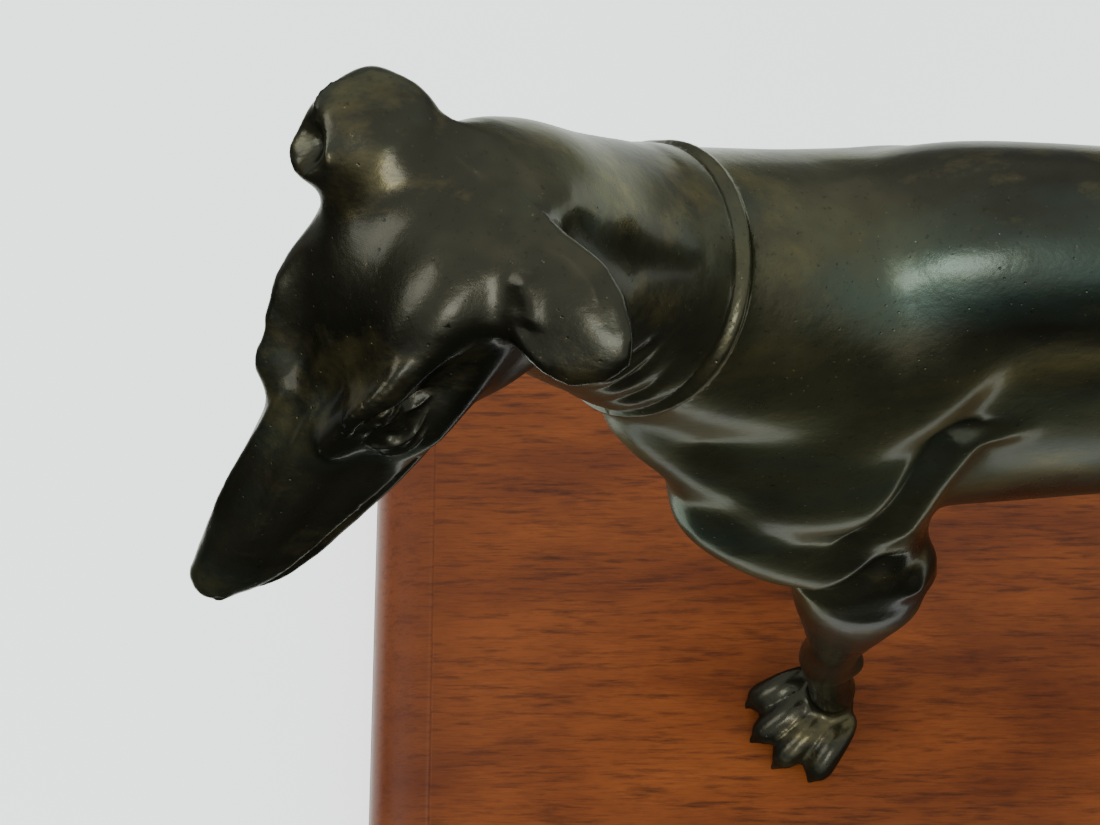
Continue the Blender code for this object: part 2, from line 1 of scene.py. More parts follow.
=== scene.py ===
"""The looks of a bronze greyhound that stands on a moulded mahogany plinth.

The figure is drawn again from the same masses as its solid, more finely, and then carved: the lids, furrows
and mouth, the hollows of the ears, the collar's rim and the folds of the skin. Lengths inside the figure are
shares of its height at the withers, and inside its head shares of the head's length. The plinth is one block
with moulded edges.
"""

from __future__ import annotations

import logging
import math
from dataclasses import dataclass, field
from enum import Enum
from typing import Optional, Sequence, Union

import bmesh
import bpy
import numpy as np
from mathutils import Matrix, Vector
from mathutils.bvhtree import BVHTree

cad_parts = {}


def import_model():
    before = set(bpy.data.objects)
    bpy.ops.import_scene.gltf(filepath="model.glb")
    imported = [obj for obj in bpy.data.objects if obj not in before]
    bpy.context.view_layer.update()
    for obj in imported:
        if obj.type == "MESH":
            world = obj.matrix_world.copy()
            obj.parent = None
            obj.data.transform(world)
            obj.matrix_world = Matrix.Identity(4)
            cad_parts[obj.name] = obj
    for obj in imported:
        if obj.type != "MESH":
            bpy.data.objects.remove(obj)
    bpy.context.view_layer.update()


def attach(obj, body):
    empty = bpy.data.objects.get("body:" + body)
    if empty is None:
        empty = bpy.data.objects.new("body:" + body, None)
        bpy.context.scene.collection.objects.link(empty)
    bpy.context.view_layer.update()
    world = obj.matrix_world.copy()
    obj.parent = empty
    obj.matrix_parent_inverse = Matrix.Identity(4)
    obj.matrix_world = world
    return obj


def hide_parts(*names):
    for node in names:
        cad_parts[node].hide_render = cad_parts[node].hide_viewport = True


Row = tuple[float, ...]
Rows = Sequence[Row]
Key = Union[str, int]
Inputs = dict[Key, object]

LOG = logging.getLogger("greyhound")

# The sockets of a Mix node that mixes colours.
MIX_SHARE = 0
MIX_UNDER = 6
MIX_OVER = 7
MIX_COLOUR = 2


class Side(Enum):
    """The two sides of the trunk, along Y."""

    NEAR = -1
    FAR = 1


class Hand(Enum):
    """The head's own left and right."""

    LEFT = 1
    RIGHT = -1


class Cut(Enum):
    """The shapes of a carved line's profile."""

    ROUND = "round"
    SHARP = "sharp"


def linear(hex_colour: str) -> tuple[float, float, float, float]:
    """Turns an sRGB hex colour into a linear one.

    Args:
        hex_colour: six hex digits after a hash.

    Returns:
        Red, green, blue and an alpha of one.
    """
    parts = [int(hex_colour[i : i + 2], 16) / 255 for i in (1, 3, 5)]
    red, green, blue = (c / 12.92 if c <= 0.04045 else ((c + 0.055) / 1.055) ** 2.4 for c in parts)
    return red, green, blue, 1.0


def along_curve(rows: Rows, share: float) -> list[float]:
    """Finds a row on a smooth curve through rows.

    Args:
        rows: the rows that the curve runs through.
        share: how far along it, from 0 to 1.

    Returns:
        The numbers of that row.
    """
    place = share * (len(rows) - 1)
    first = min(int(place), len(rows) - 2)
    t = place - first
    before = rows[max(first - 1, 0)]
    start = rows[first]
    end = rows[first + 1]
    after = rows[min(first + 2, len(rows) - 1)]
    return [
        0.5 * (2 * b + (c - a) * t + (2 * a - 5 * b + 4 * c - d) * t**2 + (3 * b - a - 3 * c + d) * t**3)
        for a, b, c, d in zip(before, start, end, after)
    ]


def link(name: str, bm: bmesh.types.BMesh) -> bpy.types.Object:
    """Makes a scene object of a mesh.

    Args:
        name: the object's name.
        bm: its mesh, which is freed.

    Returns:
        The object.
    """
    mesh = bpy.data.meshes.new(name)
    bm.to_mesh(mesh)
    bm.free()
    made = bpy.data.objects.new(name, mesh)
    bpy.context.scene.collection.objects.link(made)
    return made


def settle(obj: bpy.types.Object) -> bmesh.types.BMesh:
    """Takes an object away and gives back what its modifiers made of it.

    Args:
        obj: the object with its modifiers.

    Returns:
        The mesh that they make.
    """
    graph = bpy.context.evaluated_depsgraph_get()
    mesh = bpy.data.meshes.new_from_object(obj.evaluated_get(graph))
    bpy.data.objects.remove(obj)
    bm = bmesh.new()
    bm.from_mesh(mesh)
    bpy.data.meshes.remove(mesh)
    return bm


def join(first: bmesh.types.BMesh, second: bmesh.types.BMesh) -> bmesh.types.BMesh:
    """Puts both meshes in the first one.

    Args:
        first: the mesh that is added to.
        second: the mesh that is added, and freed.

    Returns:
        The first mesh.
    """
    mesh = bpy.data.meshes.new("joined")
    second.to_mesh(mesh)
    second.free()
    first.from_mesh(mesh)
    bpy.data.meshes.remove(mesh)
    return first


@dataclass(frozen=True)
class Blend:
    """How overlapping skins become one surface.

    Attributes:
        voxel: the size of its cells in metres.
        passes: how often the surface is softened.
        refined: whether its faces are split once more, smoothly.
    """

    voxel: float
    passes: int
    refined: bool = False

    def apply(self, bm: bmesh.types.BMesh) -> bmesh.types.BMesh:
        """Blends a mesh of overlapping closed skins.

        Args:
            bm: the skins, which are freed.

        Returns:
            One closed surface.
        """
        rough = link("rough", bm)
        remesh = rough.modifiers.new("Remesh", "REMESH")
        remesh.mode = "VOXEL"
        remesh.voxel_size = self.voxel
        smooth = rough.modifiers.new("Smooth", "SMOOTH")
        smooth.factor = 0.5
        smooth.iterations = self.passes
        if self.refined:
            fine = rough.modifiers.new("Subdivision", "SUBSURF")
            fine.levels = 1
            fine.render_levels = 1
        return settle(rough)


@dataclass
class Clay:
    """Draws closed skins and lumps into one mesh.

    Attributes:
        bm: the mesh that is drawn into.
        place: where the shapes' own frame lies, or nothing where it is the figure's.
    """

    bm: bmesh.types.BMesh
    place: Optional[Matrix] = None

    def skin(
        self,
        rows: Rows,
        front: Row,
        along: Optional[Row] = None,
        sides: int = 24,
        rings: int = 28,
    ) -> None:
        """Draws a closed skin over sections.

        Args:
            rows: each section's centre, half width, and reach to its front and back.
            front: the way that the sections look.
            along: what they stand square to, or nothing for the line through their centres.
            sides: how many faces run round it.
            rings: how many run along it.
        """
        made = bmesh.ops.create_uvsphere(self.bm, u_segments=sides, v_segments=rings, radius=1)["verts"]
        step = 0.5 / rings
        facing = Vector(front)
        for vert in made:
            share = math.acos(max(-1.0, min(1.0, -vert.co.z))) / math.pi
            turned = Vector((vert.co.x, vert.co.y))
            x, y, z, width, ahead, behind = along_curve(rows, share)
            if along is None:
                later = Vector(along_curve(rows, min(share + step, 1))[:3])
                way = (later - Vector(along_curve(rows, max(share - step, 0))[:3])).normalized()
            else:
                way = Vector(along)
            across = way.cross(facing).normalized()
            forward = across.cross(way).normalized()
            turned = Vector((0, 0)) if turned.length < 1e-4 else turned.normalized()
            reach = ahead if turned.y > 0 else behind
            vert.co = Vector((x, y, z)) + across * (width * turned.x) + forward * (reach * turned.y)
        if self.place is not None:
            bmesh.ops.transform(self.bm, matrix=self.place, verts=made)

    def lump(self, centre: Row, radii: Row) -> None:
        """Draws an ellipsoid.

        Args:
            centre: its middle.
            radii: its half lengths.
        """
        shape = Matrix.Translation(centre) @ Matrix.Diagonal((*radii, 1))
        if self.place is not None:
            shape = self.place @ shape
        bmesh.ops.create_uvsphere(self.bm, u_segments=24, v_segments=16, radius=1, matrix=shape)


@dataclass
class Carver:
    """Moves a surface's points in and out near lines and spots.

    Attributes:
        bm: the surface.
        place: carries the lines' frame to the surface's.
        unit: the length in metres of one of that frame's units.
    """

    bm: bmesh.types.BMesh
    place: Matrix
    unit: float
    points: np.ndarray = field(init=False)
    normals: np.ndarray = field(init=False)
    tree: BVHTree = field(init=False)

    def __post_init__(self) -> None:
        """Reads the surface's points and normals."""
        self.read()

    def read(self) -> None:
        """Reads the surface again after other work on it."""
        self.bm.normal_update()
        self.points = np.array([vert.co for vert in self.bm.verts])
        self.normals = np.array([vert.normal for vert in self.bm.verts])
        self.tree = BVHTree.FromBMesh(self.bm)

    def write(self) -> None:
        """Gives the moved points back to the surface."""
        for vert, point in zip(self.bm.verts, self.points):
            vert.co = point
        self.bm.normal_update()

    def nearby(self, curve: np.ndarray, reach: float) -> np.ndarray:
        """Lists the points in the box round a curve.

        Args:
            curve: its points in metres.
            reach: how far round it, in metres.

        Returns:
            The numbers of the surface's points there.
        """
        low = curve.min(0) - reach
        high = curve.max(0) + reach
        return np.flatnonzero(np.all((self.points > low) & (self.points < high), axis=1))

    def curve(self, rows: Rows, facing: Optional[Row] = None, count: int = 48) -> np.ndarray:
        """Samples a smooth line and lays it on the surface.

        Args:
            rows: points that it runs through, in the carver's frame.
            facing: the way in that frame from which it is laid on, or nothing for the nearest place.
            count: how many samples are laid, between which four more are put.

        Returns:
            The samples in metres.
        """
        samples = [self.place @ Vector(along_curve(rows, i / (count - 1))[:3]) for i in range(count)]
        laid = []
        for sample in samples:
            hit = None
            if facing is not None:
                way = (self.place.to_3x3() @ Vector(facing)).normalized()
                hit = self.tree.ray_cast(sample + way * (0.08 * self.unit), -way)[0]
            if hit is None or (hit - sample).length > 0.1 * self.unit:
                hit = self.tree.find_nearest(sample)[0]
            laid.append(hit)
        path = np.array(laid)
        for _ in range(3):
            path[1:-1] = (path[:-2] + 2 * path[1:-1] + path[2:]) / 4
        places = np.linspace(0, count - 1, 5 * count)
        return np.stack([np.interp(places, np.arange(count), path[:, axis]) for axis in range(3)], axis=1)

    def line(
        self,
        rows: Rows,
        width: float,
        rise: float,
        cut: Cut = Cut.ROUND,
        fade: float = 0.25,
        facing: Optional[Row] = None,
    ) -> None:
        """Raises a ridge or, with a negative rise, sinks a groove along a line.

        Args:
            rows: points that the line runs through.
            width: the half width of its profile.
            rise: how far its middle moves out.
            cut: the profile's shape.
            fade: the share of its length over which each end dies away.
            facing: the way from which the line is laid on, or nothing for the nearest place.
        """
        samples = self.curve(rows, facing)
        chosen = self.nearby(samples, 3 * width * self.unit)
        if len(chosen) == 0:
            return
        gaps = np.linalg.norm(self.points[chosen, None] - samples[None], axis=2)
        nearest = gaps.argmin(1)
        gap = gaps[np.arange(len(chosen)), nearest] / (width * self.unit)
        share = nearest / (len(samples) - 1)
        end = np.clip(np.minimum(share, 1 - share) / max(fade, 1e-3), 0, 1) if fade > 0 else np.ones(len(gap))
        end = end * end * (3 - 2 * end)
        profile = np.exp(-(gap**2)) if cut is Cut.ROUND else np.exp(-1.6 * gap)
        push = rise * self.unit * profile * end
        if facing is not None:
            way = (self.place.to_3x3() @ Vector(facing)).normalized()
            push = push * np.clip(self.normals[chosen] @ np.array(way) * 3 + 0.8, 0, 1)
        self.points[chosen] += self.normals[chosen] * push[:, None]

    def spot(self, centre: Row, radii: Row, rise: float, way: Optional[Row] = None) -> None:
        """Swells or presses an ellipsoidal spot.

        Args:
            centre: its middle.
            radii: its half lengths along the carver's axes.
            rise: how far the middle moves out, or in where it is negative.
            way: the way that it moves, or nothing for the surface's own.
        """
        back = self.place.inverted()
        middle = np.array([self.place @ Vector(centre)])
        chosen = self.nearby(middle, 2.5 * max(radii) * self.unit)
        turn = np.array(back.to_3x3())
        local = self.points[chosen] @ turn.T + np.array(back.translation)
        gap = np.linalg.norm((local - np.array(centre)) / np.array(radii), axis=1)
        push = rise * self.unit * np.exp(-(gap**2))
        if way is None:
            self.points[chosen] += self.normals[chosen] * push[:, None]
        else:
            out = (self.place.to_3x3() @ Vector(way)).normalized()
            self.points[chosen] += np.array(out) * push[:, None]

    def refine(self, centre: Row, radius: float) -> None:
        """Splits the faces round a spot into four.

        Args:
            centre: the spot's middle in the carver's frame.
            radius: its reach in the carver's units.
        """
        self.write()
        middle = self.place @ Vector(centre)
        reach = radius * self.unit
        edges = [e for e in self.bm.edges if (e.verts[0].co - middle).length < reach]
        bmesh.ops.subdivide_edges(self.bm, edges=edges, cuts=1, use_grid_fill=True)
        self.read()


def outer_top(side: int) -> Row:
    """Gives the way out from the head's upper side, in the head's frame."""
    return -0.453, side * 0.408, 0.793


@dataclass
class Head:
    """The greyhound's head, drawn along its own muzzle, left and crown.

    Attributes:
        length: its length as a share of the withers' height.
        nape: where the skull meets the nape.
        muzzle: the way that the muzzle points.
        crown: the way that the crown of the skull points.
    """

    length: float = 0.350
    nape: Row = (-0.340, -0.071, 1.175)
    muzzle: Row = (-0.540, -0.510, -0.667)
    crown: Row = (-0.607, -0.309, 0.731)

    def place(self) -> Matrix:
        """Finds where the head's frame lies.

        Returns:
            What carries that frame, in head lengths, to the figure's.
        """
        muzzle = Vector(self.muzzle).normalized()
        left = Vector(self.crown).cross(muzzle).normalized()
        turned = Matrix((muzzle, left, muzzle.cross(left))).transposed().to_4x4()
        return Matrix.Translation(self.nape) @ turned @ Matrix.Scale(self.length, 4)

    def draw_masses(self, clay: Clay) -> None:
        """Draws the skull, muzzle, cheeks and ears.

        Args:
            clay: clay in the head's frame.
        """
        upper = (
            (1.000, 0, -0.070, 0.030, 0.030, 0.030),
            (0.980, 0, -0.070, 0.056, 0.050, 0.050),
            (0.930, 0, -0.072, 0.070, 0.056, 0.070),
            (0.840, 0, -0.074, 0.085, 0.064, 0.084),
            (0.750, 0, -0.076, 0.098, 0.072, 0.098),
            (0.660, 0, -0.080, 0.112, 0.082, 0.112),
            (0.580, 0, -0.084, 0.128, 0.094, 0.124),
            (0.500, 0, -0.086, 0.150, 0.112, 0.138),
            (0.420, 0, -0.088, 0.172, 0.136, 0.152),
            (0.330, 0, -0.090, 0.190, 0.160, 0.165),
            (0.230, 0, -0.092, 0.196, 0.172, 0.170),
            (0.130, 0, -0.096, 0.182, 0.164, 0.165),
            (0.040, 0, -0.105, 0.150, 0.136, 0.150),
            (-0.060, 0, -0.130, 0.108, 0.104, 0.120),
        )
        clay.skin(upper, front=(0, 0, 1), along=(1, 0, 0), sides=28, rings=44)
        jaw = (
            (0.955, 0, -0.135, 0.026, 0.018, 0.018),
            (0.930, 0, -0.142, 0.056, 0.042, 0.036),
            (0.830, 0, -0.162, 0.070, 0.060, 0.048),
            (0.700, 0, -0.188, 0.086, 0.076, 0.054),
            (0.560, 0, -0.218, 0.102, 0.088, 0.060),
            (0.420, 0, -0.244, 0.116, 0.098, 0.062),
            (0.280, 0, -0.260, 0.122, 0.100, 0.066),
            (0.150, 0, -0.255, 0.110, 0.100, 0.064),
            (0.040, 0, -0.235, 0.070, 0.070, 0.050),
        )
        clay.skin(jaw, front=(0, 0, 1), along=(1, 0, 0), sides=20, rings=34)
        for hand in Hand:
            self.draw_muzzle_side(clay, hand.value)
            self.draw_cheek(clay, hand.value)
        self.draw_left_ear(clay)
        self.draw_right_ear(clay)

    def draw_muzzle_side(self, clay: Clay, side: int) -> None:
        """Draws one edge of the nasal bridge and the lip under it.

        Args:
            clay: clay in the head's frame.
            side: 1 for the left, -1 for the right.
        """
        bridge = (
            (0.985, side * 0.016, -0.060, 0.014, 0.014, 0.014),
            (0.900, side * 0.030, -0.046, 0.030, 0.032, 0.032),
            (0.750, side * 0.035, -0.030, 0.034, 0.035, 0.035),
            (0.600, side * 0.037, -0.014, 0.036, 0.036, 0.036),
            (0.500, side * 0.036, -0.006, 0.032, 0.032, 0.032),
            (0.430, side * 0.032, -0.010, 0.012, 0.012, 0.012),
        )
        clay.skin(bridge, front=(0, 0, 1), sides=16, rings=24)
        lip = (
            (0.965, side * 0.022, -0.110, 0.014, 0.014, 0.014),
            (0.920, side * 0.044, -0.120, 0.036, 0.036, 0.036),
            (0.830, side * 0.062, -0.138, 0.044, 0.045, 0.044),
            (0.700, side * 0.078, -0.152, 0.048, 0.050, 0.050),
            (0.570, side * 0.094, -0.156, 0.052, 0.056, 0.056),
            (0.460, side * 0.106, -0.156, 0.046, 0.052, 0.052),
            (0.380, side * 0.110, -0.158, 0.016, 0.018, 0.018),
        )
        clay.skin(lip, front=(0, 0, 1), sides=16, rings=26)

    def draw_cheek(self, clay: Clay, side: int) -> None:
        """Draws one cheek, temple, cheekbone and brow.

        Args:
            clay: clay in the head's frame.
            side: 1 for the left, -1 for the right.
        """
        clay.lump((0.260, side * 0.112, -0.190), (0.150, 0.066, 0.120))
        clay.lump((0.210, side * 0.086, 0.006), (0.180, 0.105, 0.085))
        cheekbone = (
            (0.560, side * 0.112, -0.100, 0.012, 0.012, 0.012),
            (0.500, side * 0.146, -0.096, 0.030, 0.032, 0.032),
            (0.410, side * 0.172, -0.088, 0.034, 0.036, 0.036),
            (0.280, side * 0.178, -0.082, 0.030, 0.034, 0.034),
            (0.150, side * 0.160, -0.078, 0.012, 0.012, 0.012),
        )
        clay.skin(cheekbone, front=(0, 0, 1), sides=14, rings=18)
        brow = (
            (0.575, side * 0.082, 0.006, 0.012, 0.012, 0.012),
            (0.530, side * 0.102, 0.026, 0.032, 0.034, 0.034),
            (0.465, side * 0.122, 0.038, 0.038, 0.040, 0.040),
            (0.385, side * 0.138, 0.040, 0.039, 0.041, 0.041),
            (0.300, side * 0.149, 0.032, 0.036, 0.040, 0.040),
            (0.220, side * 0.154, 0.016, 0.030, 0.034, 0.034),
            (0.150, side * 0.150, 0.000, 0.012, 0.012, 0.012),
        )
        clay.skin(brow, front=(0, 0, 1), sides=16, rings=24)

    def draw_left_ear(self, clay: Clay) -> None:
        """Draws the rose ear that is laid back: a drooping flap with a rolled front edge.

        Args:
            clay: clay in the head's frame.
        """
        flap = (
            (0.060, 0.120, -0.030, 0.060, 0.080, 0.090),
            (0.060, 0.170, -0.045, 0.055, 0.085, 0.095),
            (0.060, 0.220, -0.062, 0.046, 0.088, 0.102),
            (0.065, 0.270, -0.080, 0.040, 0.090, 0.104),
            (0.085, 0.325, -0.102, 0.034, 0.080, 0.090),
            (0.103, 0.365, -0.120, 0.026, 0.055, 0.062),
            (0.110, 0.384, -0.128, 0.010, 0.015, 0.015),
        )
        clay.skin(flap, front=(1, 0, 0), sides=24, rings=24)
        roll = (
            (0.115, 0.150, -0.022, 0.014, 0.014, 0.014),
            (0.128, 0.200, -0.036, 0.034, 0.036, 0.036),
            (0.140, 0.250, -0.050, 0.036, 0.038, 0.038),
            (0.150, 0.300, -0.072, 0.031, 0.032, 0.032),
            (0.150, 0.342, -0.098, 0.020, 0.022, 0.022),
            (0.142, 0.362, -0.112, 0.008, 0.008, 0.008),
        )
        clay.skin(roll, front=(1, 0, 0), sides=16, rings=20)

    def draw_right_ear(self, clay: Clay) -> None:
        """Draws the rose ear that is raised: a tube along the head, open in front.

        Args:
            clay: clay in the head's frame.
        """
        clay.lump((0.085, -0.135, 0.045), (0.120, 0.085, 0.075))
        tube = (
            (-0.040, -0.110, 0.010, 0.020, 0.020, 0.020),
            (-0.015, -0.160, 0.035, 0.038, 0.038, 0.038),
            (0.004, -0.204, 0.070, 0.045, 0.047, 0.047),
            (0.058, -0.204, 0.092, 0.054, 0.054, 0.054),
            (0.115, -0.204, 0.112, 0.054, 0.052, 0.052),
            (0.170, -0.204, 0.120, 0.052, 0.050, 0.050),
            (0.205, -0.204, 0.120, 0.026, 0.026, 0.026),
        )
        clay.skin(tube, front=(0, -1, 1), sides=24, rings=24)

    def draw_details(self, clay: Clay) -> None:
        """Draws the eyeballs and nose leather.

        Args:
            clay: clay in the head's frame.
        """
        for hand in Hand:
            clay.lump((0.448, hand.value * 0.140, -0.040), (0.048, 0.040, 0.038))
        clay.lump((0.970, 0, -0.068), (0.036, 0.050, 0.044))

    def carve(self, carver: Carver) -> None:
        """Cuts the face's and ears' finer forms.

        Args:
            carver: a carver in the head's frame.
        """
        for hand in Hand:
            side = hand.value
            self.carve_brow(carver, side)
            self.carve_eye(carver, side)
            self.carve_muzzle(carver, side)
        furrow = ((0.36, 0, 0.07), (0.42, 0, 0.06), (0.48, 0, 0.04))
        carver.line(furrow, width=0.013, rise=0.004, facing=(0, 0, 1))
        self.carve_left_ear(carver)
        self.carve_right_ear(carver)
        self.carve_nape(carver)

    def carve_brow(self, carver: Carver, side: int) -> None:
        """Cuts one hollow of the forehead and the crest of the brow beside it.

        Args:
            carver: a carver in the head's frame.
            side: 1 for the left, -1 for the right.
        """
        above = outer_top(side)
        carver.spot((0.482, side * 0.155, 0.046), (0.060, 0.045, 0.045), -0.018)
        carver.spot((0.360, side * 0.185, 0.000), (0.080, 0.040, 0.032), -0.016)
        carver.spot((0.300, side * 0.195, -0.015), (0.070, 0.040, 0.030), -0.014)
        hollow = (
            (0.375, side * 0.038, 0.060),
            (0.420, side * 0.044, 0.044),
            (0.465, side * 0.042, 0.030),
            (0.520, side * 0.030, 0.022),
        )
        carver.line(hollow, width=0.030, rise=-0.009, fade=0.4, facing=(0, 0, 1))
        crest = (
            (0.470, side * 0.120, 0.060),
            (0.448, side * 0.129, 0.070),
            (0.422, side * 0.132, 0.071),
            (0.377, side * 0.141, 0.071),
            (0.336, side * 0.148, 0.068),
            (0.297, side * 0.149, 0.067),
            (0.262, side * 0.150, 0.066),
        )
        width, rise = (0.015, 0.009) if side == Hand.LEFT.value else (0.024, 0.003)
        carver.line(crest, width=width, rise=rise, facing=above)

    def carve_eye(self, carver: Carver, side: int) -> None:
        """Cuts one eye with its lids.

        Args:
            carver: a carver in the head's frame.
            side: 1 for the left, -1 for the right.
        """
        above = outer_top(side)
        carver.refine((0.420, side * 0.160, 0.000), 0.120)
        carver.refine((0.420, side * 0.165, -0.005), 0.095)
        carver.spot((0.420, side * 0.160, -0.010), (0.036, 0.036, 0.028), 0.012)
        crease = (
            (0.458, side * 0.143, 0.061),
            (0.434, side * 0.149, 0.064),
            (0.403, side * 0.159, 0.059),
            (0.378, side * 0.168, 0.051),
            (0.352, side * 0.172, 0.036),
            (0.330, side * 0.170, 0.010),
            (0.314, side * 0.167, -0.015),
        )
        carver.line(crease, width=0.008, rise=-0.012, cut=Cut.SHARP, facing=above)
        upper_lid = (
            (0.450, side * 0.153, 0.050),
            (0.418, side * 0.158, 0.055),
            (0.393, side * 0.168, 0.040),
            (0.375, side * 0.165, 0.012),
            (0.358, side * 0.165, -0.017),
            (0.330, side * 0.170, -0.028),
        )
        carver.line(upper_lid, width=0.006, rise=0.008, cut=Cut.SHARP, facing=above)
        lower_lid = (
            (0.453, side * 0.154, 0.047),
            (0.475, side * 0.146, 0.002),
            (0.469, side * 0.157, -0.014),
            (0.453, side * 0.169, -0.025),
            (0.434, side * 0.174, -0.037),
            (0.415, side * 0.175, -0.043),
            (0.387, side * 0.175, -0.041),
            (0.350, side * 0.172, -0.034),
        )
        carver.line(lower_lid, width=0.006, rise=0.008, cut=Cut.SHARP, facing=above)
        ring = (
            (0.496, side * 0.139, -0.010),
            (0.493, side * 0.151, -0.038),
            (0.471, side * 0.170, -0.043),
            (0.450, side * 0.178, -0.058),
            (0.422, side * 0.182, -0.058),
            (0.393, side * 0.183, -0.054),
        )
        carver.line(ring, width=0.007, rise=0.006, cut=Cut.SHARP, facing=above)
        carver.spot((0.436, side * 0.160, -0.010), (0.012, 0.012, 0.012), -0.008)

    def carve_muzzle(self, carver: Carver, side: int) -> None:
        """Cuts one half of the nasal bridge, the hollow under it, the mouth and a nostril.

        Args:
            carver: a carver in the head's frame.
            side: 1 for the left, -1 for the right.
        """
        bridge = (
            (0.489, side * 0.030, 0.023),
            (0.548, side * 0.038, 0.023),
            (0.628, side * 0.044, 0.011),
            (0.710, side * 0.049, -0.002),
            (0.804, side * 0.050, -0.021),
            (0.896, side * 0.046, -0.043),
        )
        carver.line(bridge, width=0.014, rise=0.007, facing=(0, 0, 1))
        hollow = (
            (0.490, side * 0.140, -0.050),
            (0.580, side * 0.130, -0.050),
            (0.700, side * 0.110, -0.065),
            (0.830, side * 0.090, -0.080),
        )
        carver.line(hollow, width=0.034, rise=-0.013, facing=(0, side, 0.5))
        mouth = (
            (0.968, side * 0.045, -0.104),
            (0.938, side * 0.064, -0.108),
            (0.888, side * 0.080, -0.118),
            (0.815, side * 0.097, -0.128),
            (0.730, side * 0.109, -0.138),
            (0.645, side * 0.122, -0.146),
            (0.560, side * 0.136, -0.150),
            (0.490, side * 0.150, -0.136),
        )
        carver.line(mouth, width=0.006, rise=-0.013, cut=Cut.SHARP, fade=0.1, facing=(0, side, -0.3))
        carver.refine((0.985, side * 0.030, -0.060), 0.045)
        nostril = (
            (0.995, side * 0.018, -0.060),
            (0.990, side * 0.034, -0.054),
            (0.972, side * 0.046, -0.060),
        )
        carver.line(nostril, width=0.006, rise=-0.010, facing=(1, side, 0.2))

    def carve_left_ear(self, carver: Carver) -> None:
        """Cuts the laid-back ear's roll, fold and edges.

        Args:
            carver: a carver in the head's frame.
        """
        above = outer_top(Hand.LEFT.value)
        carver.refine((0.070, 0.270, -0.060), 0.150)
        carver.spot((0.060, 0.270, -0.045), (0.060, 0.070, 0.060), 0.006)
        roll = ((0.045, 0.186, 0.003), (0.066, 0.209, -0.006), (0.089, 0.230, -0.015), (0.120, 0.243, -0.019))
        carver.line(roll, width=0.024, rise=0.008, facing=above)
        front = (
            (0.078, 0.196, 0.001),
            (0.113, 0.216, -0.008),
            (0.142, 0.244, -0.022),
            (0.153, 0.276, -0.039),
            (0.161, 0.307, -0.062),
            (0.152, 0.338, -0.092),
        )
        carver.line(front, width=0.014, rise=0.005, fade=0.4, facing=above)
        fold = (
            (0.001, 0.178, -0.012),
            (-0.011, 0.204, -0.028),
            (-0.010, 0.234, -0.045),
            (-0.002, 0.269, -0.057),
            (0.020, 0.300, -0.065),
        )
        carver.line(fold, width=0.009, rise=0.007, cut=Cut.SHARP, facing=above)
        edge = (
            (-0.024, 0.174, -0.045),
            (-0.027, 0.200, -0.056),
            (-0.028, 0.255, -0.075),
            (-0.012, 0.292, -0.077),
            (0.009, 0.327, -0.088),
            (0.033, 0.359, -0.100),
            (0.077, 0.373, -0.107),
            (0.111, 0.362, -0.094),
        )
        carver.line(edge, width=0.014, rise=0.004, fade=0.45, facing=above)

    def carve_right_ear(self, carver: Carver) -> None:
        """Opens the raised ear's mouth and cuts its rim.

        Args:
            carver: a carver in the head's frame.
        """
        above = outer_top(Hand.LEFT.value)
        carver.refine((0.140, -0.200, 0.125), 0.120)
        carver.refine((0.160, -0.205, 0.130), 0.080)
        carver.spot((0.138, -0.206, 0.146), (0.044, 0.034, 0.044), -0.062, way=(0.35, -0.25, 0.90))
        rim = (
            (0.078, -0.216, 0.146),
            (0.080, -0.208, 0.148),
            (0.083, -0.188, 0.147),
            (0.097, -0.169, 0.143),
            (0.116, -0.154, 0.134),
            (0.140, -0.148, 0.123),
        )
        carver.line(rim, width=0.008, rise=0.010, cut=Cut.SHARP, facing=above)
        fold = (
            (0.008, -0.225, 0.110),
            (0.034, -0.230, 0.123),
            (0.058, -0.228, 0.135),
            (0.078, -0.216, 0.146),
        )
        carver.line(fold, width=0.008, rise=0.008, cut=Cut.SHARP, facing=above)

    def carve_nape(self, carver: Carver) -> None:
        """Cuts the crest behind the skull and the folds of skin on the throat.

        Args:
            carver: a carver in the head's frame.
        """
        above = outer_top(Hand.LEFT.value)
        crest = (
            (-0.001, -0.071, 0.015),
            (-0.001, -0.045, 0.003),
            (-0.012, 0.018, -0.006),
            (-0.017, 0.070, -0.028),
            (-0.020, 0.127, -0.041),
            (-0.024, 0.174, -0.045),
        )
        carver.line(crest, width=0.012, rise=0.008, cut=Cut.SHARP, facing=above)
        folds = (
            ((0.340, 0.150, -0.470), (0.300, 0.180, -0.480), (0.219, 0.200, -0.486), (0.171, 0.199, -0.486)),
            ((0.398, 0.127, -0.560), (0.343, 0.167, -0.546), (0.280, 0.195, -0.536), (0.167, 0.204, -0.527)),
            ((0.457, 0.106, -0.679), (0.381, 0.165, -0.632), (0.313, 0.199, -0.611), (0.194, 0.216, -0.586)),
        )
        for fold in folds:
            carver.line(fold, width=0.014, rise=-0.008, fade=0.45, facing=above)
            beside = [(x + 0.022, y, z - 0.012) for x, y, z in fold]
            carver.line(beside, width=0.016, rise=0.003, fade=0.45, facing=above)


